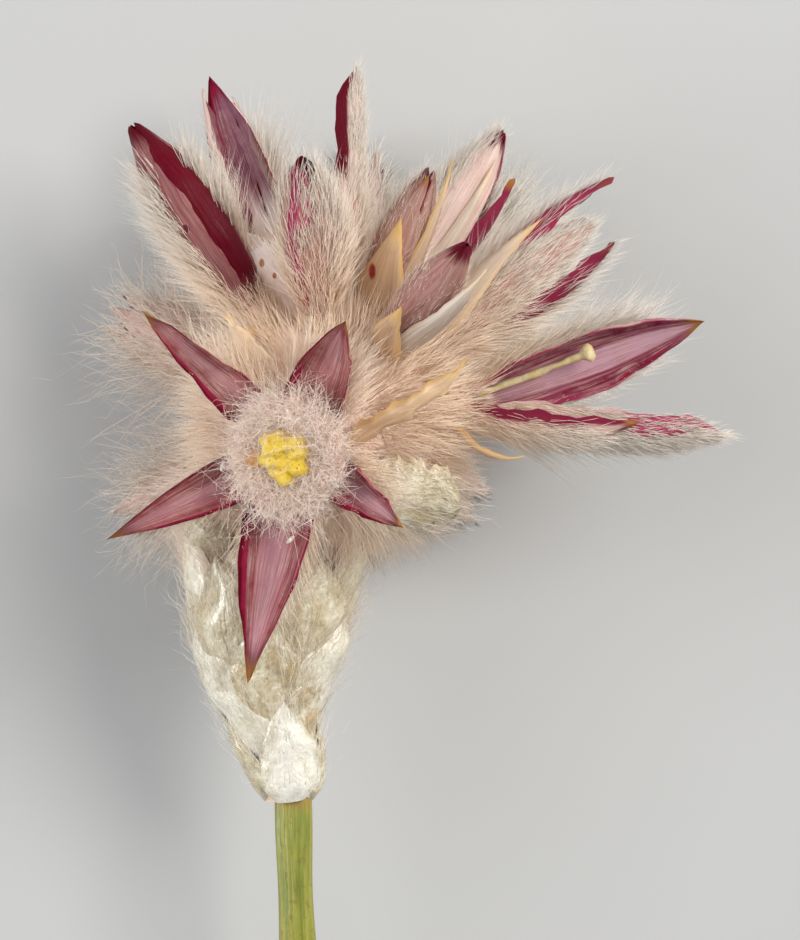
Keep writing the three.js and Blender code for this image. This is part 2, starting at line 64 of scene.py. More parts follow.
# Where no hair grows on the knob: turn, rise and how wide, in degrees, and how wide round the open flower and
# the cup.
KNOB_CLEARINGS = ((116, 14, 20), (-1, 14, 11), (101, 42, 11), (-38, 30, 20), (143, 44, 9))
STAR_CLEARING = 34
CUP_CLEARING = 25
TUBE = {"root": 0.62, "mouth": 0.78, "sunk": 0.9, "standing": 1.5}
TEPAL = {"half_width": 0.9, "thickness": 0.3, "fold": 0.42, "curl": 0.35, "foot": 0.4, "widest": 0.58}
BRACTEOLE = {
    "half_width": 0.7, "thickness": 0.12, "fold": 0.5, "foot": 0.7, "widest": 0.35, "outside": 0.3,
    "raised": 0.5,
}
# Rows and columns of points on a tepal in front, on one behind and on the bed of a tepal's hairs.
TEPAL_GRID, BACK_GRID, BED_GRID = (26, 13), (16, 9), (19, 11)
# How far along it a blade's last row of points lies, before its tip.
LAST_ROW = 0.985

# The flowers: turn and rise aim them, in degrees, and length is from the knob. at is an angle round the
# flower's axis, 0 towards the viewer, and reach is a share of the flower's length. lift, belly and shoulder
# place the middle of a tepal's line, gape and crown its tip, and roll turns the tepal about its own line.
# wave and fold shape its section and blunt its point. bare is where across a tepal's crimson back no hair
# grows but for the share veil, from -1 to 1, and from is how far along it that starts. smooth is where none
# grows on a pale back, fur is how far along it hairs start, and margin how far across it they reach. hair and
# lean scale the length of the hairs and how far they stand off, dense is how many there are, furry how many
# at the tip. dry says how brown a tip is, tone how pink its tepal, plain how little crimson its back has,
# light how white the back is, and pale how white a bracteole is. A loose flower has fewer, wavy hairs.
# Above 1, light also paints light on a tepal: a whiter ground on its back than its own pale one, a paler
# foot, and a glow.
FLOWERS = {
    "flower_star": {
        "turn": 218, "rise": 72, "seat": 4.1, "length": 6.4, "belly": 2.5, "gape": 7.2, "half_width": 1.05,
        "lift": 0.34, "shoulder": 0.42, "crown": 0.6, "hair": 1, "lean": 2.2, "dry": 1, "blunt": 1.7,
        "fold": 0.26, "wave": 2.2,
        "tepals": [
            {"at": -96.5, "gape": 7.98, "half_width": 0.85, "tone": 0.15},
            {"at": -25.9, "gape": 5.98, "half_width": 1.2, "tone": 0.1, "blunt": 2.2, "dry": 0.5},
            {"at": 67.7, "gape": 5.41, "half_width": 0.85, "tone": 0.5},
            {"at": 138.7, "gape": 9.25, "half_width": 1.4, "tone": 0.35},
            {"at": 192.5, "gape": 8.07, "half_width": 0.95, "tone": 0.2},
        ],
    },
    "flower_upper_left": {
        "turn": 124, "rise": 7, "length": 10.1, "belly": 1.2, "gape": 0.05, "blunt": 4, "tube_hair": 0.35,
        "light": -0.8,
        "tepals": [
            {"at": 38, "hair": 0.9, "tone": 0, "smooth": (0.1, 1), "lean": 0.6},
            {"at": 95, "tone": 0},
            {"at": 160, "tone": 0},
            {"at": -130, "half_width": 1, "tone": 0, "fur": 0.5},
            {"at": -62, "bare": (-1, 0.1), "half_width": 1, "lean": 1.3, "tone": 0, "fur": 0.45},
        ],
        "bracteoles": [{"at": 22, "reach": 0.06, "gape": 1.5, "half_width": 0.5, "outside": 0.2}],
    },
    "flower_top_left": {
        "turn": 110.3, "rise": -12, "length": 11.1, "belly": 1.1, "gape": 0.3, "half_width": 1, "blunt": 2.4,
        "tube_hair": 0.2, "light": 1,
        "tepals": [
            {"at": -158, "gape": 0.3, "half_width": 1.2, "tone": 0, "belly": 0.95, "light": 1.5},
            {"at": 112, "lean": 0.2, "hair": 0.5, "half_width": 0.45, "gape": 0.2, "reach": 0.96, "plain": 1,
             "belly": 0.85, "dense": 1.5},
            {"at": -118, "lean": 1.3, "hair": 1.6, "half_width": 0.4, "reach": 0.9, "gape": 0.7, "plain": 1,
             "fur": 0.3},
            {"at": 25, "reach": 0.36, "gape": 2, "half_width": 1.3, "blunt": 4, "plain": 1, "belly": 2.4,
             "fur": 0.82, "hair": 0.9, "furry": 1, "lean": 0.4, "light": 2},
            {"at": -45, "reach": 0.39, "gape": 1.9, "half_width": 1.3, "blunt": 2.6, "plain": 1, "belly": 2.2,
             "fur": 0.82, "hair": 0.9, "furry": 1, "lean": 0.4, "light": 2},
        ],
    },
    "flower_top_front": {
        "turn": 96, "rise": 30, "length": 7.5, "belly": 1.15, "gape": 0, "blunt": 5, "tube_hair": 0.25,
        "lean": 0.5, "light": -0.3,
        "tepals": [
            {"at": 0, "reach": 0.97, "gape": 0, "hair": 0.8, "dense": 1.1, "plain": 0.35, "furry": 0.25,
             "half_width": 0.95},
            {"at": 66, "bare": (0.2, 0.7), "veil": 0.5, "half_width": 0.95, "tone": 0.8, "blunt": 8,
             "gape": 0.3, "from": 0.04, "furry": 0.7, "lean": 0.4, "smooth": (-1, -0.35), "belly": 1.25},
            {"at": 140, "tone": 0, "blunt": 8, "gape": 0, "reach": 1.03, "bare": (-1, 1), "from": 0.85,
             "smooth": (-1, 1)},
            {"at": -140, "tone": 0, "blunt": 8, "reach": 1, "furry": 0.3, "lean": 0.6},
            {"at": -68, "reach": 0.96, "gape": 0.35, "plain": 1, "furry": 1},
        ],
    },
    "flower_top": {
        "turn": 89, "rise": 0, "length": 9.9, "belly": 1.05, "gape": 0.7, "blunt": 3,
        "tepals": [
            {"at": -50, "gape": 0.75, "lean": 0.3, "hair": 0.65, "bare": (-1, -0.6), "from": 0.5,
             "half_width": 0.62, "belly": 0.75, "blunt": 9, "dense": 4, "plain": 0.7, "tone": 0, "furry": 1,
             "light": 1},
            {"at": -20, "reach": 0.6, "plain": 1, "furry": 1},
            {"at": 52, "reach": 0.5, "plain": 0.8},
            {"at": 124, "reach": 0.56, "plain": 0.8},
            {"at": -164, "reach": 0.66, "plain": 0.8},
        ],
    },
    "flower_top_short": {
        "turn": 68.5, "rise": 18, "length": 7, "belly": 0.95, "gape": 0.05, "lean": 0.4, "hair": 0.35,
        "margin": 0.9, "dense": 0.5, "light": -0.25, "blunt": 2.2, "tube_hair": 0.5, "plain": 0.75,
        "tepals": [
            {"at": -6, "dry": 1, "reach": 0.97},
            {"at": 66, "reach": 0.95},
            {"at": 140, "hair": 2.2, "dense": 2},
            {"at": -150, "reach": 0.95},
            {"at": -66, "bare": (-1, -0.72), "tone": 0, "from": 0.25},
        ],
        "bracteoles": [
            {"at": 10, "reach": 0.7, "gape": 1.6, "half_width": 0.95},
            {"at": -46, "reach": 1.06, "gape": 0.45, "half_width": 0.35, "pale": 0.2},
        ],
    },
    "flower_upper_right": {
        "turn": 59.7, "rise": -10, "length": 9.6, "belly": 1.2, "gape": 0.05, "lean": 0.35, "hair": 0.4,
        "blunt": 3, "dense": 0.7, "light": 1,
        "tepals": [
            {"at": 5, "half_width": 1.05, "tone": 0},
            {"at": 77, "hair": 2, "dense": 1.6, "plain": 0.6, "furry": 1, "lean": 1.6},
            {"at": 149, "hair": 2.2, "dense": 1.6, "plain": 0.6, "furry": 1},
            {"at": -139, "hair": 1.5},
            {"at": -72, "reach": 0.84, "gape": 1.35, "half_width": 0.36, "bare": (-1, 0.2), "from": 0.45,
             "dry": 1, "tone": 0.5},
        ],
        "bracteoles": [{"at": -20, "reach": 0.8, "gape": 0.5, "half_width": 0.4, "pale": 0.9}],
    },
    "flower_front_right": {
        "turn": 52, "rise": 42, "length": 7.4, "belly": 0.95, "gape": 0, "lean": 0.25, "hair": 0.45,
        "blunt": 4, "dense": 0.5, "margin": 0.86, "light": -0.5, "half_width": 0.68, "tube_hair": 0.5,
        "tepals": [{"at": 30, "tone": 0}, {"at": 102}, {"at": 174}, {"at": -114}, {"at": -42}],
        "bracteoles": [
            {"at": 16, "reach": 0.54, "gape": 1.45, "half_width": 0.8},
            {"at": -58, "reach": 0.97, "gape": 0.95, "half_width": 0.85, "pale": 1},
        ],
    },
    "flower_right": {
        "turn": 37, "rise": 8, "length": 10.2, "belly": 1.5, "gape": 0.9, "lean": 0.7, "blunt": 3,
        "dry": 0.25,
        "tepals": [
            {"at": 0, "reach": 0.88, "gape": 0.3, "hair": 1, "dense": 2.7, "plain": 1, "light": -0.2,
             "furry": 1, "lean": 0.6},
            {"at": 80, "reach": 1.05, "gape": 0.9, "bare": (-0.1, 1), "from": 0.45, "half_width": 0.5,
             "tone": 0.8, "veil": 0.3, "furry": 0.5},
            {"at": 144, "reach": 0.86, "gape": 0.5, "plain": 1, "dense": 1.3},
            {"at": -144, "reach": 0.8, "gape": 0.3, "plain": 1, "dense": 1.3},
            {"at": -80, "reach": 0.9, "gape": 0.99, "bare": (-1, 0), "from": 0.45, "half_width": 0.55,
             "tone": 0.5, "veil": 0.2, "furry": 0.5},
        ],
        "bracteoles": [{"at": 38, "reach": 0.7, "gape": 1.75, "half_width": 0.7, "pale": 0.7}],
    },
    "flower_east": {
        "turn": 6.5, "rise": 10, "length": 11.2, "belly": 2, "gape": 2.3, "half_width": 1, "dry": 1,
        "tube_hair": 0.45,
        "tepals": [
            {"at": 128, "reach": 0.975, "gape": 2.8, "half_width": 1.34, "roll": 0.35, "tone": 1, "blunt": 2,
             "dense": 1.4, "light": 1, "hair": 1.3},
            {"at": 172, "reach": 0.38, "gape": 1, "half_width": 0.8},
            {"at": -146, "reach": 0.6, "gape": 1.2, "half_width": 0.4, "plain": 1, "hair": 1.7, "dense": 2,
             "lean": 0.7},
            {"at": -100, "reach": 1.01, "gape": 2.22, "half_width": 1.05, "tone": 1, "blunt": 6, "dry": 0,
             "lean": 0.3, "hair": 0.85, "dense": 2.2, "light": 1, "roll": 0.55, "bare": (-1, -0.42),
             "from": 0.7, "veil": 0.55, "furry": 1, "plain": 0.8},
            {"at": -66, "reach": 0.73, "gape": 1.4, "half_width": 0.85, "bare": (-1, -0.74), "from": 0.04,
             "lean": 0.35, "blunt": 2, "dense": 2.2, "light": 0.6, "tone": 0.3, "veil": 0.06, "hair": 0.8},
        ],
        "bracteoles": [{"at": -58, "reach": 0.27, "gape": 2.2, "half_width": 0.35}],
    },
}
# The flowers behind: turn, rise, length, belly, gape, where the first of five like tepals stands, and more.
BACK_FLOWERS = {
    "upper_right": (47, -33, 9.4, 1.2, 0.8, 36, {"hair": 2.3, "dense": 1.7, "lean": 0.8}),
    "top_left": (121, -39, 9.8, 1.2, 0.8, 0, {}),
    "top": (84, -40, 10, 1.2, 0.8, 36, {}),
    "right": (13, -30, 9, 1.2, 0.8, 0, {"hair": 0.8}),
    "lower_right": (-30, -57, 7.4, 1.15, 0.9, 36, {"hair": 0.55}),
    "left": (153, -24, 6.6, 1.2, 0.6, 0, {"hair": 1.4, "loose": 1}),
    "lower_left": (205, -34, 7.2, 1.2, 0.6, 36, {"hair": 1.4, "loose": 1}),
    "bottom_left": (232, -55, 7.6, 1.15, 0.6, 0, {"hair": 1.2, "loose": 1}),
    "bottom_right": (-82, -65, 6.8, 1.1, 0.9, 36, {}),
    "middle_right": (34, -71, 6.6, 1.1, 0.9, 0, {}),
    "middle_left": (150, -70, 6.6, 1.1, 0.9, 36, {}),
}
FLOWERS.update({
    "back_" + place: {
        "turn": turn, "rise": rise, "length": length, "belly": belly, "gape": gape, "first": first,
        "plain": 1, **more,
    }
    for place, (turn, rise, length, belly, gape, first, more) in BACK_FLOWERS.items()
})

# How many hairs the flowers behind have and how thick these are, as shares of those in front.
BACK_HAIR = {"density": 0.3, "radius": 1.5}
# The beds of hairs on the knob and, between heights, on the cup: how many grow there and how long they are.
KNOB_HAIR = {"thick": 0.7, "reach": 0.8}
CUP_HAIR = {"low": 8.2, "high": 11.4, "radius": 2.95, "thick": 0.5, "reach": 0.75, "facing": 0.75}

# The cup below the knob: its foot, a point on its axis, how far its middle bulges to the left, and its
# radius at heights above the foot.
FOOT = np.array([-5, -1.7, 8.7])
CUP_TOP = np.array([-5.5, 9.5, 9])
CUP_BOW = 0.6
CUP_HEIGHT = 12.4
CUP_HEIGHTS = [0, 1.7, 2.8, 4.2, 6.4, 8.4, 10.6]
CUP_RADII = [1.1, 1.25, 1.55, 2.1, 2.7, 2.95, 3]

# The papery bracts: rows round the cup, and a few that stand out under the flowers. turns say where round
# the cup each one is, 0 towards the viewer. flare is how far its tip stands off the cup and over how much
# further its middle does, slant sets its foot askew, and widest and blunt shape its outline. The colours go
# by the bract's number: tone makes it browner, and light paints a highlight on it, whiter towards its
# middle. Of one under the flowers, from and to are its ends, out is where its back faces, bulge how far it
# bows, ragged how uneven its margins are, and brown how brown it is. A golden one is thin like a bracteole,
# and a one_sided one is golden on one margin only.
BRACT = {"thickness": 0.13, "fold": 0.42, "foot": 0.7, "widest": 0.45, "sunk": 0.2}
BRACT_ROWS = [
    {"height": -0.15, "turns": (-16, 98, 235), "length": 3.85, "half_width": 2.3, "flare": 0.3,
     "widest": 0.2, "blunt": 1.35, "slant": 0.6, "over": 0.22},
    {"height": 1, "turns": (-52, 48, 140, 220), "length": 4.2, "half_width": 2.1, "flare": 0.34},
    {"height": 2.4, "turns": (-66, 2, 70, 144, 216), "length": 5, "half_width": 2.2, "flare": 0.52},
    {"height": 4.5, "turns": (-32, 40, 105, 180, 255), "length": 5.2, "half_width": 2.2, "flare": 0.58},
    {"height": 6.2, "turns": (-80, 5, 75, 150, 220, 112, 185, 250), "length": 5, "half_width": 2.2,
     "flare": 0.6},
]
BRACT_COLOURS = {
    0: {"light": 1}, 3: {"tone": 1}, 4: {"light": 0.7}, 7: {"light": 0.5}, 8: {"tone": 0.5},
    9: {"light": 0.6}, 12: {"tone": 0.3}, 13: {"tone": 0.2}, 19: {"light": 0.5}, 20: {"light": 0.5},
    22: {"light": 0.4},
}
SIDE_BRACTS = [
    {"from": (-2.9, 12.4, 13.5), "to": (2, 15.8, 14.5), "out": (0.3, -0.5, 0.9), "half_width": 0.45,
     "golden": 0},
    {"from": (-2.6, 10.8, 13), "to": (2.1, 10, 11.6), "out": (0.3, -0.5, 0.8), "half_width": 1.45,
     "bulge": 0.3, "blunt": 3, "ragged": 0.07, "brown": 0.25},
    {"from": (-2.6, 9.6, 9.6), "to": (1.5, 9.6, 9.4), "out": (0.2, -1, 0), "half_width": 1.2},
    {"from": (-7.4, 8.4, 11), "to": (-8.9, 9.8, 11.6), "out": (-0.6, -0.5, 0.6), "half_width": 1.1},
    {"from": (-5.3, 14.4, 14), "to": (-7.4, 17.6, 13), "out": (-0.4, -0.1, 0.9), "half_width": 0.5,
     "golden": 0.2, "bulge": 0.15, "blunt": 1.4, "hairy": True, "one_sided": 1},
]
# Picks the noise that crumples soft surfaces, so that it is the same each time.
CRUMPLE_DRAW = 1

# The stem: how thick it is and the points that its middle line passes, from the cup to the cut end.
STEM_RADIUS = 0.75
STEM_POINTS = [
    (-4.88, -1.2, 8.71), (-4.87, -2, 8.7), (-4.72, -7.4, 8.1), (-4.4, -12.6, 5.9), (-4.15, -18, 2.5),
    (-4, -22.6, 0.72), (-3.9, -27.4, 0.72),
]

# The open flower's middle. A pale scale has a place and lies along a direction. The small anther is of two
# lumps, each with a place, a radius and how far it is stretched. The style of the flower on the right passes
# points along that flower's axis, front and side, and has radii at shares of its length.
WOOL = {"height": 3.3, "inner": 1.0, "outer": 2.5, "thickness": 1.0, "lumps": 34, "curl": 2.3}
ANTHERS = {"height": 2.8, "spread": 0.9, "count": 16, "radius": 0.41, "stretch": 2.3}
PALE_SCALES = [
    ((-4.6, 13.38, 16.9), (1, 1.2, 0)),
    ((-7.51, 11.5, 15.7), (0.3, 1, 0)),
    ((-4.87, 8.64, 15.7), (1, 1, 0)),
    ((-3.12, 10.78, 16.6), (1, -0.8, 0)),
]
SMALL_ANTHER = (((-6.3, 11.75, 16), 0.34, 1.1), ((-6.1, 12, 16), 0.24, 1.2))
STYLE_POINTS = [(2.7, 0, 0.4), (5, 0, 0.95), (7.15, 0.1, 1.5)]
STYLE_SHARES = [0, 0.8, 0.9, 0.94, 0.97, 1]
STYLE_RADII = [0.16, 0.13, 0.2, 0.36, 0.38, 0.22]

# The spots on tepals and on a bracteole: where they are from above, their half sizes and their colour.
TEPAL_SPOTS = (
    ((-6.1, 19.6), (0.12, 0.2), (0.5, 0.22, 0.08)),
    ((-5.6, 19.1), (0.1, 0.14), (0.45, 0.18, 0.1)),
    ((-9.1, 20.9), (0.2, 0.2), (0.14, 0.02, 0.03)),
)
BRACTEOLE_SPOT = ((-1.7, 19.2), (0.16, 0.36), (0.45, 0.03, 0.02))

# The camera looks straight down on the middle of the photographed part.
VIEW_CENTRE = (-0.6, 11.36, 9)
VIEW_HEIGHT = 37.6

# The table's half side and the lights, in metres: where each is from the middle of the view, how wide, which
# setting gives its power and what share of it, and its colour.
TABLE_HALF = 1.5
LIGHTS = (
    ("key_light", (0.15, 0.07, 0.24), 0.14, "key", 1, (1, 0.97, 0.92)),
    ("fill_light", (-0.2, 0.08, 0.2), 0.2, "key", 0.4, (0.96, 0.98, 1)),
    ("left_rim", (-0.22, -0.03, 0.045), 0.08, "rim", 1, (1, 1, 1)),
    ("right_rim", (0.2, 0.12, 0.045), 0.08, "rim", 1, (1, 1, 1)),
)


# Settings that a user would change.
def colour_setting(name, description, default):
    return FloatVectorProperty(name=name, description=description, subtype="COLOR", default=default)


def length_setting(name, description, default):
    return FloatProperty(name=name, description=description, unit="LENGTH", default=default)


class TepalSettings(bpy.types.PropertyGroup):
    wave: length_setting("Wave", "How far a tepal's margins wave", 0.00008)
    crimson: colour_setting("Crimson", "The margins and tips", (0.12, 0.001, 0.009))
    mauve: colour_setting("Mauve", "The middle of the inner face", (0.4, 0.11, 0.095))
    pink: colour_setting("Pink", "The middle of the brightest faces", (0.33, 0.04, 0.1))
    pale: colour_setting("Pale", "The back under the hairs", (0.56, 0.31, 0.22))
    tip: colour_setting("Tip", "The dry point of a tepal", (0.4, 0.17, 0.04))
    bracteole: colour_setting("Bracteole", "The small scales that clasp a flower", (0.8, 0.5, 0.16))


class SilkSettings(bpy.types.PropertyGroup):
    density: FloatProperty(
        name="Density", description="Hairs on a square millimetre of a tepal's back", default=85, min=0
    )
    length: length_setting("Length", "Length of the longest hairs", 0.0034)
    radius: length_setting("Radius", "Radius of a hair at its root", 0.0000135)
    seed: IntProperty(name="Seed", description="Picks where the hairs grow", default=3)
    root: colour_setting("Root", "Hairs near the middle of the head", (0.9, 0.68, 0.49))
    tip: colour_setting("Tip", "Hairs at its edge", (0.76, 0.69, 0.6))


class BractSettings(bpy.types.PropertyGroup):
    paper: colour_setting("Paper", "The papery bracts", (0.52, 0.43, 0.25))
    shade: colour_setting("Shade", "Their dry edges and nerves", (0.42, 0.29, 0.12))
    crumple: length_setting("Crumple", "Height of the bracts' crumples", 0.00034)


class StemSettings(bpy.types.PropertyGroup):
    green: colour_setting("Green", "The stem", (0.15, 0.19, 0.02))
    yellow: colour_setting("Yellow", "Its sunlit ribs", (0.42, 0.38, 0.06))


class MiddleSettings(bpy.types.PropertyGroup):
    wool: colour_setting("Wool", "The curly wool", (0.95, 0.76, 0.64))
    anther: colour_setting("Anther", "The anthers", (0.86, 0.6, 0.035))
    style: colour_setting("Style", "The style and stigma", (0.74, 0.62, 0.38))
    curls: FloatProperty(
        name="Curls", description="Curly hairs on a square millimetre of the ring", default=120, min=0
    )


class StageSettings(bpy.types.PropertyGroup):
    floor: colour_setting("Floor", "The table", (0.52, 0.52, 0.51))
    key: FloatProperty(
        name="Key Light", description="Power of the large light", default=0.57, unit="POWER"
    )
    rim: FloatProperty(
        name="Rim Lights", description="Power of the low side lights", default=0.26, unit="POWER"
    )
    distance: length_setting("Camera Distance", "From the camera to the head", 0.25)


class HeadSettings(bpy.types.PropertyGroup):
    tepals: PointerProperty(type=TepalSettings)
    silk: PointerProperty(type=SilkSettings)
    bracts: PointerProperty(type=BractSettings)
    stem: PointerProperty(type=StemSettings)
    middle: PointerProperty(type=MiddleSettings)
    stage: PointerProperty(type=StageSettings)


# Directions and places, as the part's source has them.
def unit(vectors):
    vectors = np.asarray(vectors, float)
    return vectors / np.linalg.norm(vectors, axis=-1, keepdims=True)


def direction(turn, rise):
    t, r = math.radians(turn), math.radians(rise)
    return np.array([math.cos(r) * math.cos(t), math.cos(r) * math.sin(t), math.sin(r)])


def around(axis):
    """The directions towards the viewer and to the side, square to an axis."""
    up = np.array([0.0, 0.0, 1.0])
    front = unit(up - axis * (up @ axis))
    return front, np.cross(front, axis)


def turned(front, side, angle):
    a = math.radians(angle)
    return front * math.cos(a) + side * math.sin(a)


def place_of(flower):
    """A flower's root, axis, front and side."""
    axis = direction(flower["turn"], flower["rise"])
    root = HEAD + axis * (flower.get("seat", KNOB_RADIUS) - TUBE["sunk"])
    return root, axis, *around(axis)


def bezier(points, t):
    """A cubic curve's points and unit tangents at the shares t."""
    p = np.asarray(points, float)
    t = np.asarray(t, float)[:, None]
    s = 1 - t
    at = s**3 * p[0] + 3 * s**2 * t * p[1] + 3 * s * t**2 * p[2] + t**3 * p[3]
    slope = s**2 * (p[1] - p[0]) + 2 * s * t * (p[2] - p[1]) + t**2 * (p[3] - p[2])
    return at, unit(slope)


def lanceolate(t, foot, widest, blunt=1.8):
    """A blade's width along its length, as a share of its widest."""
    t = np.asarray(t, float)
    rising = foot + (1 - foot) * np.sin(np.pi / 2 * np.minimum(t / widest, 1))
    falling = 1 - np.maximum((t - widest) / (1 - widest), 0) ** blunt
    return np.where(t < widest, rising, falling)


def blade_line(flower, blade, t):
    """The midline, back and side of a tepal or bracteole at the shares t."""
    root, axis, front, side = place_of(flower)
    outward = turned(front, side, blade["at"])
    length = blade.get("reach", 1) * flower["length"] + TUBE["sunk"]
    points, slope = bezier(
        [
            (0.15, TUBE["sunk"] + 0.4),
            (0.6, length * flower.get("lift", 0.36)),
            (blade.get("belly", flower["belly"]) * 1.25, length * flower.get("shoulder", 0.62)),
            (blade.get("gape", flower["gape"]), length * flower.get("crown", 1)),
        ],
        t,
    )
    middle = root + points[:, :1] * outward + points[:, 1:] * axis
    back = slope[:, 1:] * outward - slope[:, :1] * axis
    return middle, back, np.cross(axis, outward)


def tepals_of(flower):
    return flower.get("tepals") or [{"at": flower["first"] + 72 * i} for i in range(5)]


def cup_axis():
    return unit(CUP_TOP - FOOT)


def cup_points(outward, radius, height):
    """Points at heights above the cup's foot and distances outwards from its bowed middle line."""
    height = np.asarray(height, float)[..., None]
    radius = np.asarray(radius, float)[..., None]
    point = FOOT + outward * radius + cup_axis() * height
    rise = np.clip(height[..., 0] / CUP_HEIGHT, 0, 1) ** 0.7
    point[..., 0] -= CUP_BOW * np.sin(np.pi * rise) ** 2
    return point


def lengths_along(route):
    """How far along a route each of its points lies."""
    return np.concatenate([[0], np.cumsum(np.linalg.norm(np.diff(route, axis=0), axis=1))])


def smooth_route(route, lengths, steps):
    """Points at distances along a smooth curve through a route."""
    slopes = np.gradient(route, lengths, axis=0)
    made = []
    for s in steps:
        i = min(np.searchsorted(lengths, s, side="right") - 1, len(route) - 2)
        span = lengths[i + 1] - lengths[i]
        t = (s - lengths[i]) / span
        h = (2 * t**3 - 3 * t**2 + 1, t**3 - 2 * t**2 + t, 3 * t**2 - 2 * t**3, t**3 - t**2)
        made.append(
            h[0] * route[i] + h[1] * span * slopes[i] + h[2] * route[i + 1] + h[3] * span * slopes[i + 1]
        )
    return np.array(made)


# Sheets with a boat's section, closed round their edges.
class Sheet:
    """A blade's inner and outer faces on a grid of shares along it and places across it, from -1 to 1."""

    def __init__(self, inner, outer, back, side, t, u):
        self.inner, self.outer, self.back, self.side, self.t, self.u = inner, outer, back, side, t, u

    @classmethod
    def boat(cls, middle, back, side, width, thickness, fold, across, wave=0, phase=0, roll=0, curl=0):
        u = np.asarray(across, float)
        t = np.linspace(0, 1, len(middle))
        back = np.broadcast_to(back, middle.shape)
        turn = roll * np.minimum(1, t * 3)[:, None]
        leaned_side = side * np.cos(turn) + back * np.sin(turn)
        leaned_back = back * np.cos(turn) - side * np.sin(turn)
        spread = (width[:, None] * np.sin(u * 1.35)[None, :] / math.sin(1.35))[..., None]
        rise = fold * np.abs(u) ** 1.8 + curl * np.maximum(np.abs(u) - 0.7, 0) ** 1.5 * 5
        sag = (width[:, None] * rise[None, :])[..., None]
        ripple = (
            wave * np.abs(u)[None, :] ** 2 * (
                np.sin(t[:, None] * 21 + np.sign(u)[None, :] * 1.7 + phase)
                + 0.7 * np.sin(t[:, None] * 47 + np.sign(u)[None, :] * 0.6 + phase * 2.3)
            )
        )[..., None]
        inner = middle[:, None] + leaned_side[:, None] * spread - leaned_back[:, None] * (sag + ripple)
        outer = inner + leaned_back[:, None] * cls.depth(thickness, t, u)
        return cls(inner, outer, leaned_back, np.broadcast_to(leaned_side, middle.shape), t, u)

    @staticmethod
    def depth(thickness, t, u):
        taper = np.minimum(1, 0.35 + 2.2 * (1 - t))
        return (thickness * taper[:, None] * (1 - 0.75 * np.abs(u)[None, :] ** 2))[..., None]

    def closed(self, tip):
        """Vertices, faces, (across, along) of each corner and whether each face is the inner one."""
        rows, columns = self.inner.shape[:2]
        ring = np.concatenate([self.inner, self.outer[:, -2:0:-1]], axis=1)
        count = ring.shape[1]
        share = np.concatenate([self.u, self.u[-2:0:-1]]) * 0.5 + 0.5
        points = np.concatenate([ring.reshape(-1, 3), tip[None, :]])
        lay = [(share[k], self.t[i]) for i in range(rows) for k in range(count)] + [(0.5, 1.0)]
        faces, inner = [], []
        for i in range(rows - 1):
            for k in range(count):
                a, b = i * count + k, i * count + (k + 1) % count
                faces.append((a, a + count, b + count, b))
                inner.append(k < columns - 1)
        end = (rows - 1) * count
        for k in range(count):
            faces.append((end + k, len(points) - 1, end + (k + 1) % count))
            inner.append(k < columns - 1)
        faces.append(tuple(range(count)))
        inner.append(False)
        return points, faces, lay, inner


def linked(obj):
    bpy.context.scene.collection.objects.link(obj)
    return obj


class MeshHeap:
    """Gathers closed forms, in millimetres, and makes one mesh of them."""

    def __init__(self):
        self.points, self.faces, self.lay, self.slots, self.bare = [], [], [], [], []
        self.marks = {"inner": [], "tone": [], "dry": [], "plain": [], "light": [], "seed": []}

    def add(self, points, faces, lay, inner, slot=0, bare=None, **marks):
        start = len(self.points)
        self.points.extend(map(tuple, points))
        self.faces.extend(tuple(start + k for k in face) for face in faces)
        self.lay.extend(lay)
        self.bare.extend([0.0] * len(points) if bare is None else bare)
        self.slots.extend([slot] * len(faces))
        self.marks["inner"].extend(inner)
        for key in ("tone", "dry", "plain", "light", "seed"):
            self.marks[key].extend([marks.get(key, 0.0)] * len(faces))

    def piece(self, name, materials):
        """Makes the mesh, and keeps it above the table."""
        points = np.array(self.points)
        points[:, 2] = np.maximum(points[:, 2], 0)
        mesh = bpy.data.meshes.new(name)
        mesh.from_pydata((points * MM).tolist(), [], self.faces)
        corners = np.zeros(len(mesh.loops), np.int32)
        mesh.loops.foreach_get("vertex_index", corners)
        lay = mesh.uv_layers.new(name="lay")
        lay.data.foreach_set("uv", np.array(self.lay, np.float32)[corners].ravel())
        for key, values in self.marks.items():
            mark = mesh.attributes.new(key, "FLOAT", "FACE")
            mark.data.foreach_set("value", np.array(values, np.float32))
        bare = mesh.attributes.new("bare", "FLOAT", "POINT")
        bare.data.foreach_set("value", np.array(self.bare, np.float32))
        mesh.polygons.foreach_set("material_index", np.array(self.slots, np.int32))
        mesh.shade_smooth()
        mesh.set_sharp_from_angle(angle=math.radians(SHARP_EDGE))
        for material in materials:
            mesh.materials.append(material)
        mesh.validate()
        return linked(bpy.data.objects.new(name, mesh))


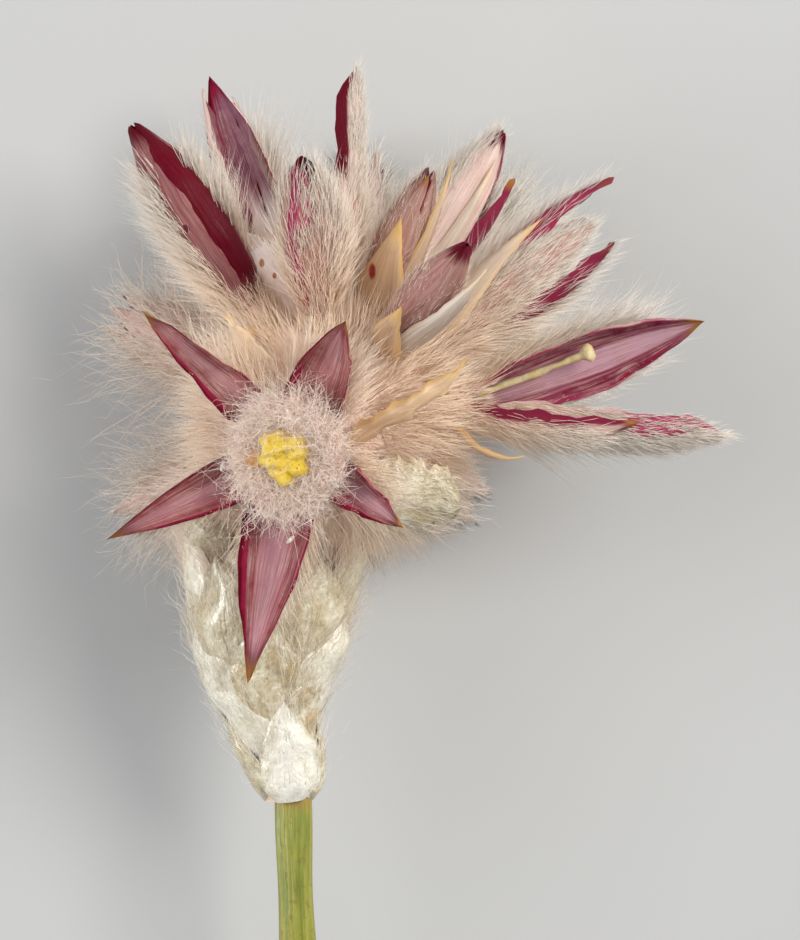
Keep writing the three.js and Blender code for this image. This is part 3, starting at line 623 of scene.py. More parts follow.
def tube_form(points, radii, sides, rib=0.0):
    """A closed round form along a row of points: vertices, faces, lay and inner."""
    points = np.asarray(points, float)
    radii = np.asarray(radii, float)
    slope = unit(np.gradient(points, axis=0))
    angles = 2 * np.pi * np.arange(sides) / sides
    across = unit(np.cross(slope[0], [0.0, 0.0, 1.0] if abs(slope[0][2]) < 0.9 else [1.0, 0.0, 0.0]))
    rings, lay = [], []
    for i, (point, ahead, radius) in enumerate(zip(points, slope, radii)):
        across = unit(across - ahead * (across @ ahead))
        upward = np.cross(ahead, across)
        bulge = radius * (1 + rib * np.cos(angles * (sides // 4)))
        ring = point + np.outer(bulge * np.cos(angles), across) + np.outer(bulge * np.sin(angles), upward)
        rings.append(ring)
        lay.extend((k / sides, i / (len(points) - 1)) for k in range(sides))
    vertices = np.concatenate([*rings, points[:1], points[-1:]])
    lay += [(0.5, 0), (0.5, 1)]
    first, last = len(vertices) - 2, len(vertices) - 1
    faces = []
    for i in range(len(points) - 1):
        for k in range(sides):
            a, b = i * sides + k, i * sides + (k + 1) % sides
            faces.append((a, b, b + sides, a + sides))
    end = (len(points) - 1) * sides
    for k in range(sides):
        faces.append((first, (k + 1) % sides, k))
        faces.append((last, end + k, end + (k + 1) % sides))
    return vertices, faces, lay, [False] * len(faces)


# Node trees, written down as the nodes and what feeds them.
class NodeWriter:
    def __init__(self, tree):
        self.tree = tree

    def socket(self, sockets, name):
        found = [s for s in sockets if s.name == name and s.enabled]
        if not found:
            raise KeyError(f"no socket {name} in {[s.name for s in sockets]}")
        return found[0]

    def feed(self, socket, value):
        if isinstance(value, bpy.types.NodeSocket):
            self.tree.links.new(value, socket)
        else:
            socket.default_value = value

    def add(self, kind, inputs=None, output=None, **settings):
        """Adds a node, sets it and feeds it. Returns one of its outputs, or the node."""
        node = self.tree.nodes.new(kind)
        for key, value in settings.items():
            setattr(node, key, value)
        for key, value in (inputs or {}).items():
            socket = node.inputs[key] if isinstance(key, int) else self.socket(node.inputs, key)
            self.feed(socket, value)
        if output is None:
            return node
        return self.socket(node.outputs, output)

    def math(self, operation, a, b=0.0, c=0.0, clamp=False):
        given = {0: a, 1: b, 2: c}
        return self.add("ShaderNodeMath", given, "Value", operation=operation, use_clamp=clamp)

    def times(self, a, b, more=None, clamp=False):
        """a times b, with more added where it is given."""
        if more is None:
            return self.math("MULTIPLY", a, b, clamp=clamp)
        return self.math("MULTIPLY_ADD", a, b, more)

    def plus(self, a, b):
        return self.math("ADD", a, b)

    def minus(self, a, b, clamp=False):
        return self.math("SUBTRACT", a, b, clamp=clamp)

    def xyz(self, x, y, z):
        return self.add("ShaderNodeCombineXYZ", {"X": x, "Y": y, "Z": z}, "Vector")

    def vector(self, operation, a, b=(0, 0, 0)):
        return self.add("ShaderNodeVectorMath", {0: a, 1: b}, "Vector", operation=operation)

    def scaled(self, vector, by):
        return self.add("ShaderNodeVectorMath", {0: vector, "Scale": by}, "Vector", operation="SCALE")

    def summed(self, *vectors):
        total = vectors[0]
        for vector in vectors[1:]:
            total = self.vector("ADD", total, vector)
        return total

    def ramp(self, value, low, high, start=0.0, end=1.0):
        """Maps low..high smoothly to start..end, held at both ends."""
        given = {"Value": value, "From Min": low, "From Max": high, "To Min": start, "To Max": end}
        return self.add("ShaderNodeMapRange", given, "Result", interpolation_type="SMOOTHSTEP")

    def mix(self, share, a, b):
        """Mixes two colours."""
        return self.add("ShaderNodeMix", {0: share, 6: a, 7: b}, data_type="RGBA").outputs[2]


def colour(values):
    return (*values, 1.0)


def socketed(tree, inputs, outputs):
    """Gives a tree its named inputs and outputs: (name, kind, default)."""
    for name, kind, default in inputs:
        made = tree.interface.new_socket(name=name, in_out="INPUT", socket_type=kind)
        if default is not None:
            made.default_value = default
    for name, kind in outputs:
        tree.interface.new_socket(name=name, in_out="OUTPUT", socket_type=kind)
    entry = tree.nodes.new("NodeGroupInput")
    leave = tree.nodes.new("NodeGroupOutput")
    return entry.outputs, leave.inputs


# Shader effects that several finishes share.
def fine_lines():
    """Fine lengthwise lines on a lay of across and along, from 0 to 1."""
    name = "fine lines"
    if name in bpy.data.node_groups:
        return bpy.data.node_groups[name]
    tree = bpy.data.node_groups.new(name, "ShaderNodeTree")
    given, made = socketed(
        tree,
        [
            ("Lay", "NodeSocketVector", None),
            ("Lines", "NodeSocketFloat", 12.0),
            ("Breaks", "NodeSocketFloat", 1.5),
            ("Offset", "NodeSocketFloat", 0.0),
        ],
        [("Lines", "NodeSocketFloat")],
    )
    w = NodeWriter(tree)
    stretched = w.vector("MULTIPLY", given["Lay"], w.xyz(given["Lines"], given["Breaks"], 1.0))
    moved = w.vector("ADD", stretched, w.xyz(given["Offset"], given["Offset"], given["Offset"]))
    drawn = {"Vector": moved, "Scale": 1.0, "Detail": 3.0, "Roughness": 0.6}
    w.feed(made["Lines"], w.ramp(w.add("ShaderNodeTexNoise", drawn, "Fac"), 0.32, 0.68))
    return tree


def soft_mottle():
    """Soft patches over a piece, from 0 to 1, with a size in millimetres."""
    name = "soft mottle"
    if name in bpy.data.node_groups:
        return bpy.data.node_groups[name]
    tree = bpy.data.node_groups.new(name, "ShaderNodeTree")
    given, made = socketed(
        tree,
        [("Size", "NodeSocketFloat", 1.0), ("Grain", "NodeSocketFloat", 0.5)],
        [("Patches", "NodeSocketFloat")],
    )
    w = NodeWriter(tree)
    place = w.add("ShaderNodeTexCoord", output="Object")
    scale = w.math("DIVIDE", 1 / MM, given["Size"])
    drawn = {"Vector": place, "Scale": scale, "Detail": 4.0, "Roughness": given["Grain"]}
    w.feed(made["Patches"], w.ramp(w.add("ShaderNodeTexNoise", drawn, "Fac"), 0.3, 0.7))
    return tree


def grouped(w, tree, inputs, output):
    node = w.tree.nodes.new("ShaderNodeGroup")
    node.node_tree = tree
    for key, value in inputs.items():
        w.feed(node.inputs[key], value)
    return node.outputs[output]


def lines_on(w, lay, count, breaks, offset=0.0):
    given = {"Lay": lay, "Lines": count, "Breaks": breaks, "Offset": offset}
    return grouped(w, fine_lines(), given, "Lines")


def mottle_on(w, size, grain):
    return grouped(w, soft_mottle(), {"Size": size, "Grain": grain}, "Patches")


def roughened(w, shader, value, low, high):
    w.feed(shader.inputs["Roughness"], w.ramp(value, 0, 1, low, high))


def raised(w, shader, height, strength, distance):
    bump = w.add("ShaderNodeBump", {"Height": height, "Strength": strength, "Distance": distance}, "Normal")
    w.feed(shader.inputs["Normal"], bump)


def finish_material(name):
    """A new material with only its shader and output: the writer and the shader."""
    material = bpy.data.materials.new(name)
    material.use_nodes = True
    tree = material.node_tree
    tree.nodes.clear()
    w = NodeWriter(tree)
    shader = w.add("ShaderNodeBsdfPrincipled")
    output = w.add("ShaderNodeOutputMaterial")
    tree.links.new(shader.outputs["BSDF"], output.inputs["Surface"])
    return material, w, shader


def attribute(w, name, output="Fac"):
    return w.add("ShaderNodeAttribute", output=output, attribute_name=name)


def lay_of(w):
    vector = w.add("ShaderNodeUVMap", output="UV", uv_map="lay")
    parts = w.add("ShaderNodeSeparateXYZ", {"Vector": vector})
    return vector, parts.outputs["X"], parts.outputs["Y"]


def spotted(w, base, centre, size, tint):
    """A colour with a soft spot at a place that is seen from above, in millimetres."""
    place = w.add("ShaderNodeTexCoord", output="Object")
    across = w.vector("SUBTRACT", place, (centre[0] * MM, centre[1] * MM, 0))
    away = w.vector("MULTIPLY", across, (1 / (size[0] * MM), 1 / (size[1] * MM), 0))
    far = w.add("ShaderNodeVectorMath", {0: away}, "Value", operation="LENGTH")
    return w.mix(w.ramp(far, 1.1, 0.6), base, colour(tint))


def tepal_satin(settings):
    """Crimson margins round a striped mauve face, a pale back, and a dark or dry brown point."""
    material, w, shader = finish_material("tepal satin")
    lay, across, along = lay_of(w)
    tone, inner, dryness = attribute(w, "tone"), attribute(w, "inner"), attribute(w, "dry")
    offset = w.times(attribute(w, "seed"), 37.0)
    lines = lines_on(w, lay, 15.0, 2.2, offset)
    hairline = lines_on(w, lay, 48.0, 5.0, offset)
    patches = mottle_on(w, 0.9, 0.65)
    crimson = colour(settings.crimson)
    light = attribute(w, "light")
    centred = w.times(across, 2.0, -1.0)
    edge = w.math("ABSOLUTE", centred)
    leaning = w.math("ABSOLUTE", w.plus(centred, w.times(w.times(light, 0.22), inner)))
    wavering = w.times(w.minus(patches, 0.5), 0.12, leaning)
    frayed = w.times(w.minus(lines, 0.5), 0.2, wavering)
    plum = w.mix(w.times(light, 0.7, clamp=True), colour(settings.mauve), (0.3, 0.1, 0.16, 1))
    middle = w.mix(tone, plum, colour(settings.pink))
    striped = w.mix(w.times(lines, w.times(tone, 0.3, 0.5)), middle, crimson)
    streaks = w.times(w.times(hairline, patches), 0.65)
    # Painted sheen: a pale satin highlight down the middle of the inner face, stronger on pinker tepals.
    painted_centre_sheen = w.times(w.ramp(frayed, 0.5, 0.05), w.times(tone, 0.6, 0.12))
    inside = w.mix(painted_centre_sheen, striped, (0.8, 0.52, 0.6, 1))
    lightened = w.mix(streaks, inside, (0.76, 0.5, 0.46, 1))
    rim = w.mix(w.ramp(frayed, 0.86, 1.0), (0.3, 0.012, 0.05, 1), crimson)
    vivid = w.minus(1.0, attribute(w, "plain"))
    ragged = w.times(w.minus(lines, 0.5), 0.05, along)
    point = w.times(w.ramp(ragged, 0.92, 0.97), vivid)
    inner_point = w.times(point, w.times(dryness, -0.8, 1.0))
    face = w.mix(w.math("MAXIMUM", w.ramp(frayed, 0.7, 0.8), inner_point), lightened, rim)
    mauve_ground = w.mix(w.times(light, -1.25, clamp=True), colour(settings.pale), (0.2, 0.055, 0.06, 1))
    # Painted light: above 1, light whitens the back's ground beyond its own pale colour.
    pale_ground_and_painted_light = w.mix(w.minus(light, 1.0, clamp=True), (0.74, 0.56, 0.48, 1), (0.98, 0.86, 0.8, 1))
    ground = w.mix(w.times(light, 1.0, clamp=True), mauve_ground, pale_ground_and_painted_light)
    lined = w.mix(w.times(lines, w.ramp(light, 1, 2, 0.35, 0.06)), ground, (0.42, 0.1, 0.1, 1))
    shine = w.times(hairline, w.ramp(light, -1, 0, 0.15, 0.4))
    sheened = w.mix(shine, lined, (0.8, 0.66, 0.58, 1))
    bare = w.math("MAXIMUM", attribute(w, "bare"), point)
    margin = w.times(w.ramp(frayed, 0.8, 0.95), vivid)
    flush = w.mix(tone, crimson, (0.42, 0.04, 0.11, 1))
    flecks = w.times(streaks, w.times(tone, 0.25, 0.04))
    flushed = w.mix(flecks, flush, (0.55, 0.2, 0.28, 1))
    behind = w.mix(w.math("MAXIMUM", bare, margin), sheened, flushed)
    both = w.mix(inner, behind, face)
    # Painted light: where light is above 1, the tepal's foot is painted paler to lift it out of its shade.
    lit_foot = w.times(w.ramp(ragged, 0.62, 0.47), w.ramp(light, 1.0, 1.5))
    foot_with_painted_light = w.mix(lit_foot, both, (0.94, 0.78, 0.72, 1))
    footed = w.mix(w.times(w.ramp(along, 0.3, 0.05), 0.6), foot_with_painted_light, (0.66, 0.42, 0.28, 1))
    frayed_along = w.times(w.plus(w.plus(patches, edge), lines), 0.022, along)
    darkening = w.times(w.ramp(frayed_along, 0.93, 0.99), w.ramp(light, 0, 1, 0.35, 0.1))
    darkness = w.times(darkening, vivid)
    dark = w.mix(darkness, footed, (0.07, 0.001, 0.006, 1))
    dry = w.times(w.ramp(frayed_along, 0.97, 1.03), dryness)
    tipped = w.mix(dry, dark, colour(settings.tip))
    shaded = w.mix(w.times(patches, 0.2), tipped, w.mix(0.5, tipped, (0.12, 0.01, 0.03, 1)))
    for spot in TEPAL_SPOTS:
        shaded = spotted(w, shaded, *spot)
    w.feed(shader.inputs["Base Color"], shaded)
    # Painted glow: the brightest backs and the painted light at the foot give off a little light of their own
    # colour.
    painted_glow = w.math("MAXIMUM", w.ramp(light, 1.0, 2.0), lit_foot)
    w.feed(shader.inputs["Emission Color"], w.mix(painted_glow, (0, 0, 0, 1), shaded))
    shader.inputs["Emission Strength"].default_value = 0.2
    roughened(w, shader, hairline, 0.25, 0.42)
    shader.inputs["Specular IOR Level"].default_value = 0.07
    height = w.plus(w.times(lines, 0.6), w.times(hairline, 0.35))
    raised(w, shader, height, 0.7, 0.00006)
    return material


def bracteole_paper(settings):
    """Thin and golden, with a darker rib and reddish specks."""
    if "bracteole paper" in bpy.data.materials:
        return bpy.data.materials["bracteole paper"]
    material, w, shader = finish_material("bracteole paper")
    lay, across, along = lay_of(w)
    offset = w.times(attribute(w, "seed"), 23.0)
    lines = lines_on(w, lay, 18.0, 1.2, offset)
    edge = w.math("ABSOLUTE", w.times(across, 2.0, -1.0))
    rims = w.times(w.ramp(edge, 0.6, 0.95), w.minus(1.0, w.math("POWER", attribute(w, "tone"), 2.0)))
    far_side = w.times(w.ramp(across, 0.4, 0.6), attribute(w, "light"))
    golden = w.times(rims, w.minus(1.0, far_side))
    base = w.mix(attribute(w, "tone"), (0.9, 0.66, 0.42, 1), (0.84, 0.78, 0.7, 1))
    edged = w.mix(golden, base, colour(settings.bracteole))
    lined = w.mix(w.times(lines, 0.6), edged, (0.66, 0.38, 0.18, 1))
    ends = w.times(w.ramp(along, 0.76, 0.98), w.times(attribute(w, "tone"), -0.5, 1.0))
    tipped = w.mix(ends, lined, colour(settings.bracteole))
    w.feed(shader.inputs["Base Color"], spotted(w, tipped, *BRACTEOLE_SPOT))
    cover = w.math("MAXIMUM", w.ramp(along, 0.6, 0.9), w.ramp(edge, 0.3, 0.9, 0.58, 1.0))
    w.feed(shader.inputs["Alpha"], cover)
    roughened(w, shader, lines, 0.3, 0.5)
    raised(w, shader, lines, 0.4, 0.00004)
    return material


def tube_finish():
    """The short tube of a flower, pale and greenish."""
    material, w, shader = finish_material("flower tube")
    lay, _, along = lay_of(w)
    lines = lines_on(w, lay, 20.0, 1.0)
    base = w.mix(along, (0.66, 0.6, 0.3, 1), (0.74, 0.48, 0.4, 1))
    w.feed(shader.inputs["Base Color"], w.mix(w.times(lines, 0.3), base, (0.5, 0.3, 0.2, 1)))
    roughened(w, shader, lines, 0.45, 0.6)
    return material


def silk_finish(name, near, far, painted_glow=0.05):
    """A fine pale hair, each a little lighter or darker, warmer near the middle of the head, partly its own
    pink base and partly painted light shining through it, with a painted glow.
    """
    material, w, shader = finish_material(name)
    along, lot = attribute(w, "along"), attribute(w, "lot")
    # Partly painted light: hairs near the head's middle are warmer, partly from their own pink bases and
    # partly from light shining through them.
    place = w.add("ShaderNodeTexCoord", output="Object")
    away = w.add("ShaderNodeVectorMath", {0: place, 1: tuple(HEAD * MM)}, "Value", operation="DISTANCE")
    outwards = w.times(along, 0.0015, away)
    base = w.mix(w.ramp(outwards, 0.0055, 0.0135), colour(near), colour(far))
    varied = w.mix(w.times(lot, 0.2), base, w.mix(0.5, base, (0.72, 0.42, 0.3, 1)))
    w.feed(shader.inputs["Base Color"], varied)
    # Painted glow: the hair gives off a little light of its own colour, standing in for light scattered
    # between hairs.
    w.feed(shader.inputs["Emission Color"], varied)
    shader.inputs["Emission Strength"].default_value = painted_glow
    roughened(w, shader, lot, 0.3, 0.5)
    shader.inputs["Specular IOR Level"].default_value = 0.5
    shader.inputs["Sheen Weight"].default_value = 0.3
    shader.inputs["Sheen Roughness"].default_value = 0.5
    return material


def bract_paper(settings):
    """Scarious, with faint nerves and painted silvery highlights, one bract browner than the next."""
    material, w, shader = finish_material("bract paper")
    lay, across, along = lay_of(w)
    offset = w.times(attribute(w, "seed"), 31.0)
    lines = lines_on(w, lay, 34.0, 3.0, offset)
    folds = lines_on(w, lay, 5.0, 3.5, offset)
    patches = mottle_on(w, 1.4, 0.6)
    small = mottle_on(w, 0.4, 0.6)
    paper = w.mix(attribute(w, "tone"), colour(settings.paper), (0.5, 0.33, 0.13, 1))
    # Painted highlight: pale glints along the folds whiten the paper.
    painted_fold_glints = w.times(w.times(small, 0.5, 0.5), folds)
    light = attribute(w, "light")
    pale = w.mix(w.times(painted_fold_glints, 0.9), paper, (0.92, 0.87, 0.68, 1))
    edge = w.math("ABSOLUTE", w.times(across, 2.0, -1.0))
    # Painted highlight: a bract with light is painted whiter, most towards its middle.
    painted_highlight = w.times(w.ramp(w.times(painted_fold_glints, -0.3, edge), 0.8, 0.1, 0.25, 0.9), light)
    white = w.mix(painted_highlight, pale, (0.98, 0.95, 0.84, 1))
    nerved = w.mix(w.times(lines, 0.16), white, (0.5, 0.42, 0.26, 1))
    shaded = w.mix(w.times(w.ramp(patches, 0.6, 1.0), 0.3), nerved, (0.52, 0.42, 0.22, 1))
    worn = w.times(w.ramp(w.times(folds, 0.1, edge), 0.9, 1.02), 0.12)
    tipped = w.math("MAXIMUM", worn, w.times(w.ramp(along, 0.85, 1.0), 0.25))
    w.feed(shader.inputs["Base Color"], w.mix(tipped, shaded, colour(settings.shade)))
    roughened(w, shader, small, 0.18, 0.4)
    shader.inputs["Specular IOR Level"].default_value = 0.8
    shader.inputs["Coat Weight"].default_value = 0.6
    shader.inputs["Coat Roughness"].default_value = 0.15
    height = w.plus(w.times(small, 0.35), w.plus(w.times(lines, 0.2), folds))
    raised(w, shader, height, w.ramp(light, 0, 1, 0.8, 0.45), 0.00016)
    return material


def felt_finish(name, base, shade, size):
    """Dense short wool, seen as soft patches."""
    material, w, shader = finish_material(name)
    patches = mottle_on(w, size, 0.7)
    w.feed(shader.inputs["Base Color"], w.mix(patches, colour(base), colour(shade)))
    roughened(w, shader, patches, 0.8, 0.95)
    raised(w, shader, patches, 0.8, 0.0002)
    return material


def stem_finish(settings):
    """Green and yellow, ribbed, with a few brown specks."""
    material, w, shader = finish_material("stem skin")
    lay, _, along = lay_of(w)
    lines = lines_on(w, lay, 22.0, 9.0)
    patches = mottle_on(w, 2.2, 0.6)
    specks = mottle_on(w, 0.3, 0.4)
    base = w.mix(w.times(lines, 0.6, w.times(patches, 0.3)),
                 colour(settings.green), colour(settings.yellow))
    specked = w.mix(w.times(w.ramp(specks, 0.86, 0.98), 0.5), base, (0.22, 0.12, 0.03, 1))
    collared = w.mix(w.ramp(along, 0.045, 0.025, 0, 0.4), specked, (0.42, 0.18, 0.03, 1))
    w.feed(shader.inputs["Base Color"], collared)
    roughened(w, shader, lines, 0.35, 0.5)
    raised(w, shader, lines, 0.5, 0.00008)
    return material


def anther_finish(settings):
    """Powdery yellow with paler ridges and small brown pits."""
    material, w, shader = finish_material("anther yellow")
    patches = mottle_on(w, 0.8, 0.6)
    grains = mottle_on(w, 0.14, 0.7)
    base = w.mix(patches, colour(settings.anther), (0.9, 0.68, 0.14, 1))
    pits = w.times(w.ramp(grains, 0.84, 0.94), 0.8)
    w.feed(shader.inputs["Base Color"], w.mix(pits, base, (0.3, 0.14, 0.02, 1)))
    roughened(w, shader, grains, 0.55, 0.8)
    raised(w, shader, grains, 0.6, 0.00006)
    return material


def style_finish(settings):
    """Waxy cream, darker in its small hollows."""
    material, w, shader = finish_material("style cream")
    patches = mottle_on(w, 0.5, 0.6)
    w.feed(shader.inputs["Base Color"], w.mix(patches, colour(settings.style), (0.6, 0.46, 0.18, 1)))
    roughened(w, shader, patches, 0.35, 0.55)
    raised(w, shader, patches, 0.5, 0.00008)
    return material


def table_finish(settings):
    """A plain pale table top with the faintest grain."""
    material, w, shader = finish_material("table")
    patches = mottle_on(w, 30.0, 0.5)
    base = colour(settings.floor)
    w.feed(shader.inputs["Base Color"], w.mix(w.times(patches, 0.06), base, (0.42, 0.42, 0.42, 1)))
    roughened(w, shader, patches, 0.75, 0.85)
    return material


# Hairs that grow on a bed.
def hair_tree():
    """A tree that grows bent, tapering hairs on a bed which says how and where they grow."""
    name = "silky hairs"
    if name in bpy.data.node_groups:
        return bpy.data.node_groups[name]
    tree = bpy.data.node_groups.new(name, "GeometryNodeTree")
    given, made = socketed(
        tree,
        [
            ("Bed", "NodeSocketGeometry", None),
            ("Density", "NodeSocketFloat", 42.0),
            ("Length", "NodeSocketFloat", 0.0034),
            ("Radius", "NodeSocketFloat", 0.00002),
            ("Stray", "NodeSocketFloat", 0.25),
            ("Clump", "NodeSocketFloat", 0.3),
            ("Bow", "NodeSocketFloat", 0.2),
            ("Kink", "NodeSocketFloat", 0.05),
            ("Kinks", "NodeSocketFloat", 2.0),
            ("Joints", "NodeSocketInt", 3),
            ("Seed", "NodeSocketInt", 1),
            ("Finish", "NodeSocketMaterial", None),
        ],
        [("Hairs", "NodeSocketGeometry")],
    )
    w = NodeWriter(tree)

    def named(attribute_name, kind="FLOAT"):
        given_name = {"Name": attribute_name}
        return w.add("GeometryNodeInputNamedAttribute", given_name, "Attribute", data_type=kind)

    def drawn(low, high, offset, kind="FLOAT"):
        limits = {"Min": low, "Max": high, "Seed": w.plus(given["Seed"], float(offset))}
        return w.add("FunctionNodeRandomValue", limits, "Value", data_type=kind)

    def stored(geometry, attribute_name, value, kind="FLOAT"):
        kept = {"Geometry": geometry, "Name": attribute_name, "Value": value}
        return w.add(
            "GeometryNodeStoreNamedAttribute", kept, "Geometry", data_type=kind, domain="POINT"
        )

    def any_way(offset):
        return drawn((-1, -1, -1), (1, 1, 1), offset, "FLOAT_VECTOR")

    def from_middle(noise_colour):
        return w.vector("SUBTRACT", noise_colour, (0.5, 0.5, 0.5))

    per_metre = w.times(w.times(given["Density"], 1e6), named("thick"))
    scattered = w.add(
        "GeometryNodeDistributePointsOnFaces",
        {"Mesh": given["Bed"], "Density": per_metre, "Seed": given["Seed"]},
        distribute_method="RANDOM",
    )
    place = w.add("GeometryNodeInputPosition", output="Position")
    swirl = w.add("ShaderNodeTexNoise", {"Vector": place, "Scale": 1400.0, "Detail": 1.0}, "Color")
    clumped = w.scaled(from_middle(swirl), w.times(given["Clump"], 3.0))
    strayed = w.scaled(any_way(11), given["Stray"])
    grow = w.vector("NORMALIZE", w.summed(named("grow", "FLOAT_VECTOR"), clumped, strayed))
    reach = w.times(w.times(given["Length"], named("reach")), drawn(0.55, 1.1, 12))
    bowed = w.summed(
        w.scaled(named("bend", "FLOAT_VECTOR"), given["Bow"]),
        w.scaled(any_way(13), w.times(given["Bow"], 0.7)),
    )
    points = stored(scattered.outputs["Points"], "aim", grow, "FLOAT_VECTOR")
    points = stored(points, "bow", w.scaled(bowed, reach), "FLOAT_VECTOR")
    points = stored(points, "long", reach)
    points = stored(points, "lot", drawn(0.0, 1.0, 14))

    cone = {
        "Vertices": 3, "Side Segments": given["Joints"], "Radius Top": 0.0, "Radius Bottom": 1.0, "Depth": 1.0
    }
    needle = w.add("GeometryNodeMeshCone", cone, "Mesh", fill_type="NGON")
    height = w.add("ShaderNodeSeparateXYZ", {"Vector": place}, "Z")
    # A cone's radius falls evenly. A hair stays thick for most of its length.
    even = w.minus(1.0001, height)
    fuller = w.math("DIVIDE", w.minus(1.0, w.math("POWER", height, 3.0)), even)
    plump = w.vector("MULTIPLY", place, w.xyz(fuller, fuller, 1.0))
    marked = stored(needle, "along", height)
    plumped = w.add("GeometryNodeSetPosition", {"Geometry": marked, "Position": plump}, "Geometry")
    aim = {"Vector": named("aim", "FLOAT_VECTOR")}
    rotation = w.add("FunctionNodeAlignRotationToVector", aim, "Rotation", axis="Z")
    size = w.xyz(given["Radius"], given["Radius"], named("long"))
    placed = w.add(
        "GeometryNodeInstanceOnPoints",
        {"Points": points, "Instance": plumped, "Rotation": rotation, "Scale": size},
        "Instances",
    )
    real = w.add("GeometryNodeRealizeInstances", {"Geometry": placed}, "Geometry")

    along = named("along")
    apart = (w.times(named("lot"), 971.0), w.times(named("long"), 90000.0))
    track = w.xyz(w.times(along, given["Kinks"]), *apart)
    wander = w.add("ShaderNodeTexNoise", {"Vector": track, "Scale": 1.0, "Detail": 0.0}, "Color")
    kink = w.times(w.times(given["Kink"], 3.0), w.times(along, named("long")))
    kinked = w.scaled(from_middle(wander), kink)
    bend = w.summed(w.scaled(named("bow", "FLOAT_VECTOR"), w.times(along, along)), kinked)
    bent = w.add("GeometryNodeSetPosition", {"Geometry": real, "Offset": bend}, "Geometry")
    # No hair passes through the table.
    spot = w.add("ShaderNodeSeparateXYZ", {"Vector": place})
    rise = w.math("MAXIMUM", spot.outputs["Z"], w.times(named("lot"), 0.0001))
    above = w.xyz(spot.outputs["X"], spot.outputs["Y"], rise)
    hairs = w.add("GeometryNodeSetPosition", {"Geometry": bent, "Position": above}, "Geometry")
    for spent in ("aim", "bow", "long", "grow", "bend", "thick", "reach"):
        hairs = w.add("GeometryNodeRemoveAttribute", {"Geometry": hairs, "Name": spent}, "Geometry")
    smooth = w.add("GeometryNodeSetShadeSmooth", {"Geometry": hairs}, "Geometry")
    finished = w.add("GeometryNodeSetMaterial", {"Geometry": smooth, "Material": given["Finish"]}, "Geometry")
    w.feed(made["Hairs"], finished)
    return tree


class HairBed:
    """Open patches that hairs grow on, each point with its own direction, length and thickness of growth."""

    def __init__(self):
        self.points, self.faces = [], []
        self.grow, self.bend, self.reach, self.thick = [], [], [], []

    def add(self, grid, grow, bend, reach, thick):
        rows, columns = grid.shape[:2]
        start = len(self.points)
        self.points.extend(map(tuple, grid.reshape(-1, 3)))
        self.grow.append(grow.reshape(-1, 3))
        self.bend.append(bend.reshape(-1, 3))
        self.reach.append(np.broadcast_to(reach, (rows, columns)).ravel())
        self.thick.append(np.broadcast_to(thick, (rows, columns)).ravel())
        for i in range(rows - 1):
            for k in range(columns - 1):
                a = start + i * columns + k
                self.faces.append((a, a + columns, a + columns + 1, a + 1))

    def grown(self, name, **inputs):
        """The hairs as a plain mesh piece."""
        mesh = bpy.data.meshes.new(name)
        mesh.from_pydata((np.array(self.points) * MM).tolist(), [], self.faces)
        for key, kind, field, values in (
            ("grow", "FLOAT_VECTOR", "vector", self.grow),
            ("bend", "FLOAT_VECTOR", "vector", self.bend),
            ("reach", "FLOAT", "value", self.reach),
            ("thick", "FLOAT", "value", self.thick),
        ):
            layer = mesh.attributes.new(key, kind, "POINT")
            layer.data.foreach_set(field, np.concatenate(values).astype(np.float32).ravel())
        return grown(name, mesh, hair_tree(), inputs)


def grown(name, mesh, tree, inputs):
    """Runs a mesh through a tree and keeps the result as a plain mesh object."""
    source = linked(bpy.data.objects.new(name + " source", mesh))
    modifier = source.modifiers.new("grow", "NODES")
    modifier.node_group = tree
    sockets = {item.name: item.identifier for item in tree.interface.items_tree if item.in_out == "INPUT"}
    for key, value in inputs.items():
        modifier[sockets[key.capitalize()]] = value
    depsgraph = bpy.context.evaluated_depsgraph_get()
    result = bpy.data.meshes.new_from_object(source.evaluated_get(depsgraph))
    bpy.data.objects.remove(source)
    result.name = name
    return linked(bpy.data.objects.new(name, result))


def settle(obj, slot, *nodes):
    """Ties a finished piece to the part."""
    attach(obj, "root")
    if nodes:
        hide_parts(*nodes)


# The forms of the pieces.
def bareness(flower, blade, u, t):
    """How bare a tepal's back is across u and along t, from 0 to 1."""
    low, high = blade.get("bare", (2, 2))
    inside = (u >= low - 0.01) & (u <= high + 0.01) & (t >= blade.get("from", 0.15))
    return np.where(inside | (np.abs(u) > flower.get("margin", 1)), 1.0, 0.0)


def hair_share(flower, blade, u, t):
    """How many hairs grow across a tepal's back u and along t, as a share."""
    low, high = blade.get("smooth", (2, 2))
    veiled = 1 - bareness(flower, blade, u, t) * (1 - blade.get("veil", 0))
    start = blade.get("fur", 0)
    return np.where((u >= low) & (u <= high), 0, veiled) * np.clip((t - start) * 8 + 1, 0, 1)


def tepal_sheet(flower, blade, wave, phase, rows, columns):
    t = np.linspace(0, LAST_ROW, rows)
    middle, back, side = blade_line(flower, blade, t)
    width = blade.get("half_width", flower.get("half_width", TEPAL["half_width"]))
    blunt = blade.get("blunt", flower.get("blunt", 1.8))
    width = width * lanceolate(t, TEPAL["foot"], TEPAL["widest"], blunt)
    sheet = Sheet.boat(
        middle + back * 0.08, back, side, width, TEPAL["thickness"], flower.get("fold", TEPAL["fold"]),
        np.linspace(-1, 1, columns), wave * flower.get("wave", 1), phase, blade.get("roll", 0),
        TEPAL["curl"],
    )
    tip = blade_line(flower, blade, [1.0])[0][0] + back[-1] * 0.1
    return sheet, tip


